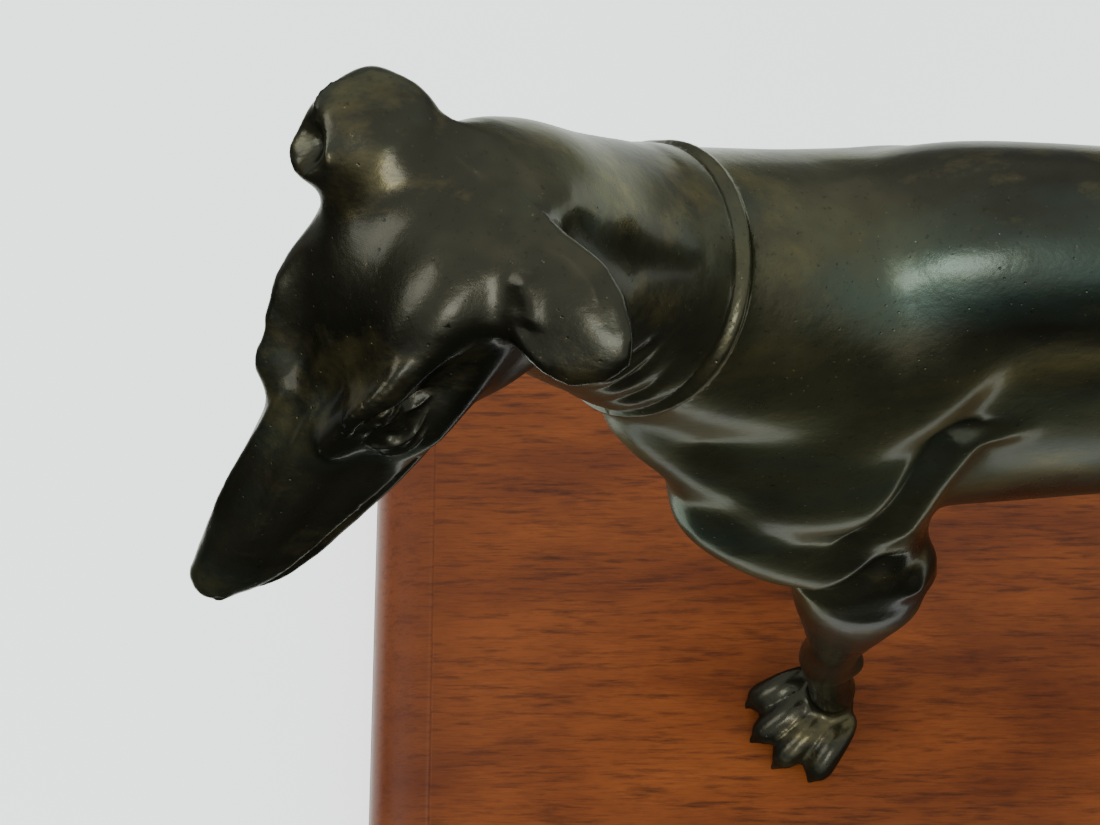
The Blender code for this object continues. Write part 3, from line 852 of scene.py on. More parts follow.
@dataclass
class Collar:
    """The broad collar, a shallow band round the neck with a raised rim behind.

    Attributes:
        centre: the middle of the rear rim.
        way: the way that the collar faces.
        width: the band's width.
        rim: the rear rim's width.
        rise: how far the band stands out.
        rim_rise: how far the rim stands out.
        edge: how soft the band's edges are.
        groove_width: the half width of the groove before the rim.
        groove_depth: its depth.
        reach: how far from the centre the neck's surface may lie.
    """

    centre: Row = (-0.223, -0.032, 0.932)
    way: Row = (-0.800, -0.200, 0.570)
    width: float = 0.038
    rim: float = 0.009
    rise: float = 0.0012
    rim_rise: float = 0.0040
    edge: float = 0.0022
    groove_width: float = 0.0035
    groove_depth: float = 0.0012
    reach: float = 0.150

    def carve(self, carver: Carver) -> None:
        """Raises the band and its rim out of the neck.

        Args:
            carver: a carver in the figure's frame.
        """
        way = np.array(Vector(self.way).normalized())
        centre = np.array(carver.place @ Vector(self.centre))
        offset = carver.points - centre
        along = offset @ way / carver.unit
        outward = offset - (offset @ way)[:, None] * way
        distance = np.linalg.norm(outward, axis=1)
        near = (distance < self.reach * carver.unit) & (np.abs(along) < 3 * self.width)
        outward /= np.maximum(distance, 1e-9)[:, None]
        behind = 1 / (1 + np.exp(-along / self.edge * 2))
        before = 1 / (1 + np.exp((along - self.width) / self.edge))
        rim = np.exp(-(((along - self.rim / 2) / (self.rim / 2)) ** 4))
        push = behind * before * self.rise + rim * (self.rim_rise - self.rise)
        groove_place = self.rim * 1.35
        groove = np.exp(-(((along - groove_place) / self.groove_width) ** 2)) * self.groove_depth
        push = (push - groove) * near * carver.unit
        carver.points += outward * push[:, None]


@dataclass
class Greyhound:
    """The whole bronze figure.

    Attributes:
        withers: its height at the withers above the plinth, in metres.
        forward: how far its forelegs stand before the plinth's middle, as a share of the withers.
        base: the height of the plinth's top in metres.
        seat_gap: how far the soles stand clear of the wood, in metres.
        hind_step: how far back the near hind leg is set, and how far forward the far one.
        forepaw, hindpaw: the lengths of the paws.
        hind_turn: how far the hind toes turn out, in degrees.
        fore_turns: how far the front ones do, on either side.
        triangles: the most triangles that the finished surface may have.
        soft_from: how far forward and how low the softened trunk reaches.
        soft_passes: how often it is softened.
        head, collar: the parts that have their own frames.
        masses, details: how the large and the small skins become one surface.
    """

    withers: float = 0.250
    forward: float = 0.312
    base: float = 0.028
    seat_gap: float = 0.0003
    hind_step: float = 0.030
    forepaw: float = 0.092
    hindpaw: float = 0.082
    hind_turn: float = 10
    fore_turns: dict[Side, float] = field(default_factory=lambda: {Side.NEAR: 38, Side.FAR: 12})
    triangles: int = 190_000
    head: Head = field(default_factory=Head)
    collar: Collar = field(default_factory=Collar)
    soft_from: tuple[float, float] = (-0.250, 0.520)
    soft_passes: int = 36
    masses: Blend = Blend(voxel=0.0022, passes=7, refined=True)
    details: Blend = Blend(voxel=0.00085, passes=7)

    def trunk(self, clay: Clay) -> None:
        """Draws the chest, ribs, loin and croup.

        Args:
            clay: clay in the figure's frame.
        """
        # Each section is a place, a height, a half width, and reaches up and down.
        sections = (
            (-0.246, 0.705, 0.012, 0.020, 0.020),
            (-0.222, 0.710, 0.048, 0.095, 0.080),
            (-0.175, 0.710, 0.078, 0.187, 0.142),
            (-0.110, 0.700, 0.096, 0.252, 0.185),
            (-0.030, 0.690, 0.098, 0.290, 0.218),
            (0.050, 0.685, 0.090, 0.298, 0.228),
            (0.140, 0.690, 0.085, 0.285, 0.218),
            (0.230, 0.700, 0.085, 0.273, 0.198),
            (0.320, 0.718, 0.085, 0.262, 0.172),
            (0.400, 0.745, 0.080, 0.249, 0.148),
            (0.480, 0.778, 0.073, 0.228, 0.130),
            (0.560, 0.800, 0.073, 0.204, 0.122),
            (0.640, 0.805, 0.078, 0.180, 0.118),
            (0.710, 0.795, 0.075, 0.155, 0.105),
            (0.765, 0.785, 0.053, 0.110, 0.075),
            (0.785, 0.785, 0.015, 0.040, 0.030),
        )
        lean = 0.006
        rows = [(x, lean, z, width, up, down) for x, z, width, up, down in sections]
        clay.skin(rows, front=(0, 0, 1), along=(1, 0, 0), sides=44, rings=64)
        back = (
            (-0.210, 0.780, 0.020, 0.020),
            (-0.160, 0.840, 0.060, 0.080),
            (-0.090, 0.862, 0.072, 0.096),
            (-0.030, 0.880, 0.076, 0.099),
            (0.050, 0.883, 0.072, 0.099),
            (0.140, 0.876, 0.069, 0.098),
            (0.230, 0.874, 0.068, 0.098),
            (0.320, 0.880, 0.068, 0.099),
            (0.400, 0.894, 0.066, 0.099),
            (0.480, 0.908, 0.063, 0.097),
            (0.560, 0.908, 0.063, 0.095),
            (0.640, 0.890, 0.064, 0.094),
            (0.700, 0.860, 0.050, 0.090),
            (0.740, 0.820, 0.015, 0.020),
        )
        rows = [(x, lean, z, width, up, 1.5 * up) for x, z, width, up in back]
        clay.skin(rows, front=(0, 0, 1), along=(1, 0, 0), sides=36, rings=52)

    def neck(self, clay: Clay) -> None:
        """Draws the neck.

        Args:
            clay: clay in the figure's frame.
        """
        rows = (
            (0.010, 0.000, 0.780, 0.070, 0.060, 0.080),
            (-0.075, -0.002, 0.820, 0.102, 0.115, 0.142),
            (-0.160, -0.016, 0.875, 0.096, 0.107, 0.140),
            (-0.238, -0.034, 0.948, 0.084, 0.090, 0.104),
            (-0.295, -0.055, 1.030, 0.075, 0.076, 0.080),
            (-0.330, -0.072, 1.100, 0.068, 0.068, 0.068),
            (-0.350, -0.084, 1.150, 0.050, 0.048, 0.045),
        )
        clay.skin(rows, front=(1.0, 0.2, 0.85), sides=36, rings=40)

    def shoulder(self, clay: Clay, side: int) -> None:
        """Draws one shoulder blade, upper arm and the muscle behind it.

        Args:
            clay: clay in the figure's frame.
            side: 1 for the far side, -1 for the near one.
        """
        blade = (
            (0.015, side * 0.022, 0.955, 0.012, 0.020, 0.020),
            (-0.005, side * 0.036, 0.915, 0.026, 0.050, 0.050),
            (-0.050, side * 0.066, 0.850, 0.037, 0.062, 0.062),
            (-0.110, side * 0.082, 0.765, 0.038, 0.058, 0.066),
            (-0.160, side * 0.084, 0.700, 0.036, 0.044, 0.055),
            (-0.185, side * 0.082, 0.660, 0.018, 0.020, 0.025),
        )
        clay.skin(blade, front=(-1, 0, 0.6))
        upper_arm = (
            (-0.193, side * 0.080, 0.700, 0.020, 0.020, 0.020),
            (-0.170, side * 0.090, 0.670, 0.044, 0.046, 0.050),
            (-0.130, side * 0.102, 0.620, 0.044, 0.052, 0.058),
            (-0.080, side * 0.108, 0.570, 0.040, 0.050, 0.056),
            (-0.030, side * 0.110, 0.530, 0.034, 0.038, 0.044),
            (-0.005, side * 0.110, 0.510, 0.015, 0.015, 0.015),
        )
        clay.skin(upper_arm, front=(-1, 0, -1))
        back_of_arm = (
            (-0.008, side * 0.050, 0.860, 0.015, 0.020, 0.018),
            (-0.022, side * 0.066, 0.780, 0.034, 0.060, 0.038),
            (-0.034, side * 0.082, 0.690, 0.038, 0.066, 0.036),
            (-0.030, side * 0.096, 0.610, 0.036, 0.052, 0.030),
            (-0.014, side * 0.104, 0.545, 0.028, 0.034, 0.022),
            (0.000, side * 0.108, 0.515, 0.012, 0.015, 0.015),
        )
        clay.skin(back_of_arm, front=(-1, 0, 0))
        clay.lump((-0.172, side * 0.045, 0.665), (0.040, 0.050, 0.085))
        clay.lump((-0.100, side * 0.084, 0.705), (0.095, 0.054, 0.095))
        clay.lump((-0.165, side * 0.074, 0.745), (0.062, 0.050, 0.095))
        throat_base = (
            (-0.212, side * 0.045, 0.930, 0.016, 0.020, 0.020),
            (-0.222, side * 0.060, 0.880, 0.038, 0.040, 0.040),
            (-0.218, side * 0.070, 0.810, 0.042, 0.044, 0.044),
            (-0.195, side * 0.072, 0.740, 0.038, 0.038, 0.038),
            (-0.178, side * 0.068, 0.680, 0.014, 0.016, 0.016),
        )
        clay.skin(throat_base, front=(-1, 0, 0))

    def foreleg(self, clay: Clay, side: int) -> None:
        """Draws one foreleg down to its pastern.

        Args:
            clay: clay in the figure's frame.
            side: 1 for the far side, -1 for the near one.
        """
        rows = (
            (-0.048, side * 0.100, 0.620, 0.030, 0.040, 0.030),
            (-0.042, side * 0.114, 0.550, 0.040, 0.060, 0.040),
            (-0.038, side * 0.119, 0.490, 0.041, 0.060, 0.056),
            (-0.037, side * 0.119, 0.430, 0.037, 0.050, 0.046),
            (-0.036, side * 0.117, 0.360, 0.031, 0.038, 0.035),
            (-0.035, side * 0.115, 0.290, 0.025, 0.028, 0.028),
            (-0.035, side * 0.113, 0.225, 0.026, 0.029, 0.028),
            (-0.031, side * 0.111, 0.170, 0.024, 0.024, 0.025),
            (-0.022, side * 0.109, 0.120, 0.023, 0.023, 0.023),
            (-0.014, side * 0.108, 0.075, 0.026, 0.025, 0.026),
            (-0.010, side * 0.108, 0.035, 0.022, 0.022, 0.024),
        )
        clay.skin(rows, front=(-1, 0, 0), rings=40)
        elbow = (
            (-0.012, side * 0.106, 0.580, 0.015, 0.015, 0.015),
            (-0.004, side * 0.111, 0.550, 0.023, 0.024, 0.026),
            (0.000, side * 0.112, 0.520, 0.022, 0.026, 0.026),
            (-0.006, side * 0.112, 0.490, 0.014, 0.014, 0.014),
        )
        clay.skin(elbow, front=(1, 0, 0.3))
        clay.lump((-0.008, side * 0.113, 0.205), (0.014, 0.016, 0.020))

    def hind_leg(self, clay: Clay, side: int) -> None:
        """Draws one thigh, hock and rear pastern.

        Args:
            clay: clay in the figure's frame.
            side: 1 for the far side, -1 for the near one.
        """
        back = -side * self.hind_step
        rows = (
            (0.660, side * 0.035, 0.935, 0.020, 0.050, 0.040),
            (0.662, side * 0.054, 0.860, 0.046, 0.115, 0.090),
            (0.655, side * 0.066, 0.770, 0.052, 0.130, 0.112),
            (0.640, side * 0.074, 0.680, 0.053, 0.118, 0.112),
            (0.618, side * 0.080, 0.590, 0.048, 0.100, 0.092),
            (0.606 + 0.2 * back, side * 0.083, 0.510, 0.041, 0.086, 0.074),
            (0.640 + 0.4 * back, side * 0.083, 0.430, 0.035, 0.060, 0.068),
            (0.700 + 0.7 * back, side * 0.081, 0.350, 0.029, 0.044, 0.060),
            (0.765 + back, side * 0.080, 0.280, 0.023, 0.032, 0.050),
            (0.800 + back, side * 0.079, 0.235, 0.021, 0.027, 0.034),
            (0.812 + back, side * 0.078, 0.170, 0.020, 0.021, 0.022),
            (0.815 + back, side * 0.077, 0.110, 0.021, 0.021, 0.022),
            (0.812 + back, side * 0.077, 0.070, 0.025, 0.024, 0.024),
            (0.806 + back, side * 0.077, 0.035, 0.020, 0.020, 0.022),
        )
        clay.skin(rows, front=(-1, 0, 0.15), rings=50)
        point_of_hock = (
            (0.800 + back, side * 0.079, 0.225, 0.012, 0.012, 0.012),
            (0.822 + back, side * 0.079, 0.255, 0.018, 0.018, 0.020),
            (0.840 + back, side * 0.079, 0.290, 0.015, 0.014, 0.020),
            (0.843 + back, side * 0.079, 0.310, 0.009, 0.008, 0.008),
        )
        clay.skin(point_of_hock, front=(1, 0, 0))
        tendon = (
            (0.842 + back, side * 0.079, 0.285, 0.008, 0.008, 0.008),
            (0.812 + back, side * 0.079, 0.328, 0.013, 0.014, 0.018),
            (0.766 + 0.8 * back, side * 0.080, 0.388, 0.019, 0.022, 0.024),
            (0.714 + 0.5 * back, side * 0.080, 0.462, 0.027, 0.030, 0.030),
            (0.680 + 0.3 * back, side * 0.078, 0.550, 0.026, 0.026, 0.026),
        )
        clay.skin(tendon, front=(1, 0, 0))

    def tail(self, clay: Clay) -> None:
        """Draws the long tail, hanging and turned up at its end.

        Args:
            clay: clay in the figure's frame.
        """
        rows = (
            (0.735, 0.000, 0.860, 0.030, 0.030, 0.030),
            (0.775, 0.000, 0.838, 0.030, 0.030, 0.034),
            (0.815, 0.002, 0.780, 0.023, 0.024, 0.026),
            (0.852, 0.006, 0.680, 0.018, 0.019, 0.020),
            (0.880, 0.010, 0.560, 0.015, 0.016, 0.016),
            (0.908, 0.014, 0.440, 0.0135, 0.014, 0.014),
            (0.945, 0.016, 0.335, 0.0125, 0.0125, 0.0125),
            (0.998, 0.016, 0.268, 0.0115, 0.0115, 0.0115),
            (1.052, 0.014, 0.262, 0.0105, 0.0105, 0.0105),
            (1.090, 0.012, 0.292, 0.008, 0.008, 0.008),
        )
        clay.skin(rows, front=(1, 0, 0.4), rings=56)

    def paw(self, bm: bmesh.types.BMesh, heel: Row, side: int, turn: float, length: float) -> None:
        """Draws four arched toes with their nails round a heel pad.

        Args:
            bm: the mesh that is drawn into.
            heel: where the paw's heel stands.
            side: the trunk's side.
            turn: how far the toes turn out, in degrees.
            length: the paw's length.
        """
        toe_angles = (-16, -5, 5, 17)
        toe = (
            (0.00, 0.36, 0.080, 0.080, 0.10),
            (0.22, 0.42, 0.140, 0.130, 0.20),
            (0.48, 0.40, 0.160, 0.165, 0.20),
            (0.68, 0.31, 0.165, 0.175, 0.20),
            (0.84, 0.22, 0.165, 0.165, 0.17),
            (0.97, 0.18, 0.120, 0.120, 0.14),
            (1.02, 0.17, 0.040, 0.040, 0.04),
        )
        nail = (
            (0.94, 0.17, 0.020, 0.020, 0.020),
            (0.99, 0.16, 0.052, 0.052, 0.052),
            (1.05, 0.10, 0.046, 0.046, 0.046),
            (1.08, 0.06, 0.018, 0.018, 0.018),
        )
        heading = Matrix.Rotation(math.pi - side * math.radians(turn), 4, "Z")
        clay = Clay(bm, Matrix.Translation(heel) @ heading @ Matrix.Scale(length, 4))
        for number, angle in enumerate(toe_angles):
            reach = 0.80 if number in (0, len(toe_angles) - 1) else 0.97
            out = Vector((math.cos(math.radians(angle)), math.sin(math.radians(angle)), 0))
            root = Vector((-0.06, 0.20 * (number - 1.5), 0))
            for sections in (toe, nail):
                rows = []
                for share, height, width, up, down in sections:
                    spot = root + out * (reach * share)
                    rows.append((spot.x, spot.y, height, width, up, down))
                clay.skin(rows, front=(0, 0, 1), sides=18, rings=20)
        clay.lump((0.26, 0, 0.20), (0.40, 0.36, 0.24))
        clay.lump((0.06, 0, 0.40), (0.29, 0.31, 0.30))

    def surface(self) -> bmesh.types.BMesh:
        """Blends the whole figure.

        Returns:
            Its surface, standing on z = 0.
        """
        place = self.head.place()
        masses = bmesh.new()
        clay = Clay(masses)
        self.trunk(clay)
        self.neck(clay)
        self.head.draw_masses(Clay(masses, place))
        details = bmesh.new()
        self.head.draw_details(Clay(details, place))
        self.tail(Clay(details))
        for side, turn in self.fore_turns.items():
            self.shoulder(clay, side.value)
            self.foreleg(clay, side.value)
            self.hind_leg(clay, side.value)
            fore_heel = (-0.010, side.value * 0.108, 0)
            hind_heel = (0.800 - side.value * self.hind_step, side.value * 0.078, 0)
            self.paw(details, fore_heel, side.value, turn, self.forepaw)
            self.paw(details, hind_heel, side.value, self.hind_turn, self.hindpaw)
        for bm in (masses, details):
            bmesh.ops.scale(bm, vec=(self.withers,) * 3, verts=bm.verts)
        blended = self.masses.apply(masses)
        self.soften_trunk(blended)
        return self.details.apply(join(blended, details))

    def soften_trunk(self, bm: bmesh.types.BMesh) -> None:
        """Lets the muscles of the chest and shoulders run into each other.

        Args:
            bm: the blended masses, standing on z = 0.
        """
        front, low = self.soft_from[0] * self.withers, self.soft_from[1] * self.withers
        trunk = [vert for vert in bm.verts if vert.co.x > front and vert.co.z > low]
        axes = {"use_axis_x": True, "use_axis_y": True, "use_axis_z": True}
        for _ in range(self.soft_passes):
            bmesh.ops.smooth_vert(bm, verts=trunk, factor=0.5, **axes)

    def carve(self, bm: bmesh.types.BMesh) -> None:
        """Cuts the collar, the folds and the face into the surface.

        Args:
            bm: the blended figure, standing on z = 0.
        """
        scale = Matrix.Scale(self.withers, 4)
        body = Carver(bm, scale, self.withers)
        self.collar.carve(body)
        self.carve_body(body)
        body.write()
        face = Carver(bm, scale @ self.head.place(), self.withers * self.head.length)
        self.head.carve(face)
        face.write()

    def carve_body(self, carver: Carver) -> None:
        """Cuts the folds of the trunk and legs.

        Args:
            carver: a carver in the figure's frame.
        """
        for side in (Side.NEAR.value, Side.FAR.value):
            above = (0, side * 0.6, 0.8)
            fold = (
                (-0.084, side * 0.133, 0.633),
                (-0.066, side * 0.120, 0.643),
                (-0.047, side * 0.115, 0.674),
                (-0.033, side * 0.108, 0.715),
                (-0.026, side * 0.102, 0.744),
                (-0.019, side * 0.096, 0.770),
                (-0.012, side * 0.094, 0.795),
                (0.015, side * 0.084, 0.784),
                (0.042, side * 0.080, 0.778),
            )
            carver.line(fold, width=0.012, rise=-0.009, facing=above)
            swell = [(x + 0.022, y, z - 0.014) for x, y, z in fold]
            carver.line(swell, width=0.018, rise=0.006, facing=above)
            arm = (
                (-0.118, side * 0.141, 0.575),
                (-0.090, side * 0.142, 0.550),
                (-0.072, side * 0.148, 0.558),
                (-0.051, side * 0.144, 0.583),
                (-0.034, side * 0.134, 0.605),
                (-0.024, side * 0.128, 0.621),
            )
            carver.line(arm, width=0.012, rise=-0.008, facing=above)
            carver.spot((-0.004, side * 0.136, 0.556), (0.016, 0.014, 0.018), 0.008)

    def seat(self, bm: bmesh.types.BMesh) -> None:
        """Cuts the soles flat and sets the figure on the plinth.

        Args:
            bm: the carved figure.
        """
        everything = bm.verts[:] + bm.edges[:] + bm.faces[:]
        sole = (0, 0, self.seat_gap)
        cut = bmesh.ops.bisect_plane(bm, geom=everything, plane_co=sole, plane_no=(0, 0, 1), clear_inner=True)
        rims = [item for item in cut["geom_cut"] if isinstance(item, bmesh.types.BMEdge)]
        bmesh.ops.holes_fill(bm, edges=rims, sides=0)
        bmesh.ops.triangulate(bm, faces=bm.faces)
        bmesh.ops.translate(bm, vec=(-self.forward * self.withers, 0, self.base), verts=bm.verts)

    def build(self) -> bpy.types.Object:
        """Draws, carves and thins the figure.

        Returns:
            The figure as one smooth object.
        """
        bm = self.surface()
        self.carve(bm)
        self.seat(bm)
        count = len(bm.faces)
        LOG.info("the carved figure has %d triangles", count)
        obj = link("greyhound_bronze", bm)
        if count > self.triangles:
            thin = obj.modifiers.new("Decimate", "DECIMATE")
            thin.ratio = self.triangles / count
            bm = settle(obj)
            obj = link("greyhound_bronze", bm)
        for polygon in obj.data.polygons:
            polygon.use_smooth = True
        return obj


class Nodes:
    """Adds shader nodes to a tree.

    Args:
        tree: the tree that they are added to.
    """

    def __init__(self, tree: bpy.types.NodeTree) -> None:
        """Keeps the tree."""
        self.tree = tree

    def give(self, node: bpy.types.Node, inputs: Inputs) -> None:
        """Sets a node's inputs.

        Args:
            node: the node.
            inputs: values or sockets for its inputs, by name or number.
        """
        for key, value in inputs.items():
            if isinstance(value, bpy.types.NodeSocket):
                self.tree.links.new(value, node.inputs[key])
            else:
                node.inputs[key].default_value = value

    def add(self, kind: str, inputs: Inputs, out: Key = 0, **settings: object) -> bpy.types.NodeSocket:
        """Adds one node with its settings and links.

        Args:
            kind: its type.
            inputs: values or sockets for its inputs, by name or number.
            out: which output is given back.
            settings: its own settings.

        Returns:
            That output.
        """
        node = self.tree.nodes.new(kind)
        for key, value in settings.items():
            setattr(node, key, value)
        self.give(node, inputs)
        return node.outputs[out]


@dataclass(frozen=True)
class Grain:
    """An uneven pattern of a real size.

    Attributes:
        size: its size in millimetres.
        detail: how many finer layers it has.
        rough: how strong they are.
        squeeze: how it is squeezed along X, Y and Z.
    """

    size: float
    detail: float
    rough: float
    squeeze: Row = (1.0, 1.0, 1.0)

    def read(self, nodes: Nodes, here: bpy.types.NodeSocket) -> bpy.types.NodeSocket:
        """Lays the pattern on a piece.

        Args:
            nodes: the material's nodes.
            here: the piece's Object coordinates.

        Returns:
            Its value.
        """
        place = nodes.add("ShaderNodeMapping", {"Vector": here, "Scale": self.squeeze})
        inputs = {"Vector": place, "Scale": 1000 / self.size, "Detail": self.detail, "Roughness": self.rough}
        return nodes.add("ShaderNodeTexNoise", inputs, "Fac")


@dataclass(frozen=True)
class Tint:
    """A colour that lies over those under it, where a pattern is strong.

    Attributes:
        colour: the colour.
        grain: the pattern.
        low: where in the pattern the colour begins.
        high: where it is full.
        share: how much of it shows there.
    """

    colour: str
    grain: Grain
    low: float
    high: float
    share: float = 1.0

    def lay(self, nodes: Nodes, here: bpy.types.NodeSocket, under: object) -> bpy.types.NodeSocket:
        """Lays the colour over another.

        Args:
            nodes: the material's nodes.
            here: the piece's Object coordinates.
            under: the colour or socket under it.

        Returns:
            Both colours together.
        """
        span = {"Value": self.grain.read(nodes, here), "From Min": self.low, "From Max": self.high}
        share = nodes.add("ShaderNodeMapRange", {**span, "To Max": self.share})
        colours = {MIX_SHARE: share, MIX_UNDER: under, MIX_OVER: linear(self.colour)}
        return nodes.add("ShaderNodeMix", colours, MIX_COLOUR, data_type="RGBA")


def new_finish(name: str) -> tuple[bpy.types.Material, Nodes, bpy.types.NodeSocket]:
    """Starts a material.

    Args:
        name: its name.

    Returns:
        The material, its nodes and the Object coordinates.
    """
    material = bpy.data.materials.new(name)
    material.use_nodes = True
    nodes = Nodes(material.node_tree)
    return material, nodes, nodes.add("ShaderNodeTexCoord", {}, "Object")


DRIFT = Grain(71.43, 5, 0.60)


@dataclass(frozen=True)
class PatinatedBronze:
    """Cast bronze under a dark olive-brown patina, rubbed and waxed.

    The eye reads it by the slow drift of brown, olive and sea green, by fine casting pits and scratches, and
    by a wax gloss that is uneven at the scale of a thumb. Its finest specks are drawn coarser than real ones.

    Attributes:
        deep: the patina's darkest colour, under all its tints.
        brown, olive: the patina's drift.
        sea: the blue-green bloom in it.
        ochre: the rubbed, warmer places.
        specks: small dark spots.
        bare: the grains of bare metal.
        edge: the tint of what it mirrors at a glancing angle.
        smear: the wax's unevenness.
        gloss: the roughness of its smoothest and of its dullest places.
        swells: the casting's slow unevenness, with its strength and its depth in metres.
        cast_skin: the finer skin of the casting, likewise.
        pit_spacing: how far apart the pits lie, in millimetres.
        pit_size: how large a pit is, as a share of that.
        pit_relief: the strength and the depth of the pits.
        scratches: the fine scratches along the figure, likewise.
    """

    deep: str = "#22221A"
    brown: Tint = Tint("#38372B", DRIFT, 0.32, 0.50)
    olive: Tint = Tint("#55553E", DRIFT, 0.50, 0.66)
    sea: Tint = Tint("#40544C", Grain(45.45, 4, 0.55, (0.6, 1.3, 1.3)), 0.52, 0.72, 0.7)
    ochre: Tint = Tint("#6E6640", Grain(29.41, 6, 0.68, (0.7, 1.4, 1.4)), 0.53, 0.74, 0.75)
    specks: Tint = Tint("#22221A", Grain(1.111, 3, 0.7), 0.60, 0.76, 0.7)
    bare: Tint = Tint("#8C8464", Grain(0.9091, 3, 0.6), 0.68, 0.80, 0.4)
    edge: str = "#A6A69C"
    smear: Grain = Grain(16.667, 6, 0.6, (1.0, 1.0, 0.5))
    gloss: tuple[float, float] = (0.21, 0.43)
    swells: tuple[Grain, float, float] = (Grain(9.091, 6, 0.6), 0.22, 0.0009)
    cast_skin: tuple[Grain, float, float] = (Grain(2.381, 5, 0.65), 0.16, 0.0004)
    pit_spacing: float = 2.381
    pit_size: float = 0.12
    pit_relief: tuple[float, float] = (0.35, 0.0004)
    scratches: tuple[Grain, float, float] = (Grain(1.4286, 3, 0.6, (0.12, 1.0, 0.35)), 0.10, 0.0002)

    def build(self) -> bpy.types.Material:
        """Builds the material.

        Returns:
            The material.
        """
        material, nodes, here = new_finish("patinated bronze")
        colour: object = linear(self.deep)
        for tint in (self.brown, self.olive, self.sea, self.ochre, self.specks, self.bare):
            colour = tint.lay(nodes, here, colour)
        smoothest, dullest = self.gloss
        wax = {"Value": self.smear.read(nodes, here), "From Min": 0.25, "From Max": 0.75}
        roughness = nodes.add("ShaderNodeMapRange", {**wax, "To Min": smoothest, "To Max": dullest})
        cells = {"Vector": here, "Scale": 1000 / self.pit_spacing}
        from_pit = nodes.add("ShaderNodeTexVoronoi", cells, "Distance")
        pits = nodes.add("ShaderNodeMapRange", {"Value": from_pit, "From Max": self.pit_size})
        reliefs = (self.swells, self.cast_skin, self.scratches)
        heights = [(grain.read(nodes, here), strength, depth) for grain, strength, depth in reliefs]
        heights.insert(2, (pits, *self.pit_relief))
        normal: dict[str, object] = {}
        for height, strength, depth in heights:
            bump = {"Height": height, "Strength": strength, "Distance": depth, **normal}
            normal = {"Normal": nodes.add("ShaderNodeBump", bump)}
        inputs = {
            "Base Color": colour,
            "Metallic": 0.82,
            "Roughness": roughness,
            "Specular Tint": linear(self.edge),
            "Coat Weight": 0.20,
            "Coat Roughness": 0.16,
            **normal,
        }
        nodes.give(material.node_tree.nodes["Principled BSDF"], inputs)
        return material


@dataclass(frozen=True)
class Mahogany:
    """Planed and moulded mahogany under satin varnish.

    The eye reads it by short dark pores along the length, by broad soft bands, and by wood that is drawn
    darker towards both ends of the block.

    Attributes:
        dark: the wood in the broad bands, and the colour that both ends darken towards.
        light: the wood between them.
        streak: the short dark streaks.
        pores: the finest of them, which are also dents.
        darkened_ends: how far from the middle the wood begins to darken towards the ends and is darkest, in
            metres.
        satin: the varnish's roughness in the dark bands and in the light ones.
    """

    dark: str = "#5E2B10"
    light: Tint = Tint("#8F4C1E", Grain(62.5, 6, 0.62, (0.8, 2.4, 2.4)), 0.3, 0.7)
    streak: Tint = Tint("#2C1208", Grain(10.526, 6, 0.65, (0.8, 7.0, 7.0)), 0.50, 0.72, 0.75)
    pores: Tint = Tint("#2C1208", Grain(4.1667, 4, 0.6, (0.8, 12.0, 12.0)), 0.45, 0.75, 0.35)
    darkened_ends: tuple[float, float] = (0.172, 0.190)
    satin: tuple[float, float] = (0.34, 0.46)

    def build(self) -> bpy.types.Material:
        """Builds the material.

        Returns:
            The material.
        """
        material, nodes, here = new_finish("mahogany")
        colour: object = linear(self.dark)
        for tint in (self.light, self.streak, self.pores):
            colour = tint.lay(nodes, here, colour)
        # The wood is drawn darker towards both ends of the block, by its distance from the middle along X.
        along = nodes.add("ShaderNodeSeparateXYZ", {"Vector": here}, "X")
        from_middle = nodes.add("ShaderNodeMath", {0: along}, operation="ABSOLUTE")
        begins, deepest = self.darkened_ends
        edge = {"Value": from_middle, "From Min": begins, "From Max": deepest, "To Max": 0.55}
        toward_ends = nodes.add("ShaderNodeMapRange", edge)
        end_darkening = {MIX_SHARE: toward_ends, MIX_UNDER: colour, MIX_OVER: linear(self.dark)}
        smoothest, dullest = self.satin
        bands = {"Value": self.light.grain.read(nodes, here), "From Min": 0.3, "From Max": 0.7}
        dents = {"Height": self.pores.grain.read(nodes, here), "Strength": 0.12, "Distance": 0.0003}
        inputs = {
            "Base Color": nodes.add("ShaderNodeMix", end_darkening, MIX_COLOUR, data_type="RGBA"),
            "Roughness": nodes.add("ShaderNodeMapRange", {**bands, "To Min": smoothest, "To Max": dullest}),
            "Specular IOR Level": 0.22,
            "Coat Weight": 0.10,
            "Coat Roughness": 0.22,
            "Normal": nodes.add("ShaderNodeBump", dents),
        }
        nodes.give(material.node_tree.nodes["Principled BSDF"], inputs)
        return material


@dataclass(frozen=True)
class PaleGround:
    """The plain pale floor, dull and even, which shines a little by itself.

    Attributes:
        colour: its colour.
        glow: how strongly it shines.
    """

    colour: str = "#EFF5F3"
    glow: float = 1.46

    def build(self) -> bpy.types.Material:
        """Builds the material.

        Returns:
            The material.
        """
        material, nodes, _ = new_finish("pale ground")
        tint = linear(self.colour)
        dull = {"Base Color": tint, "Roughness": 0.8, "Specular IOR Level": 0.1}
        shine = {"Emission Color": tint, "Emission Strength": self.glow}
        nodes.give(material.node_tree.nodes["Principled BSDF"], {**dull, **shine})
        return material


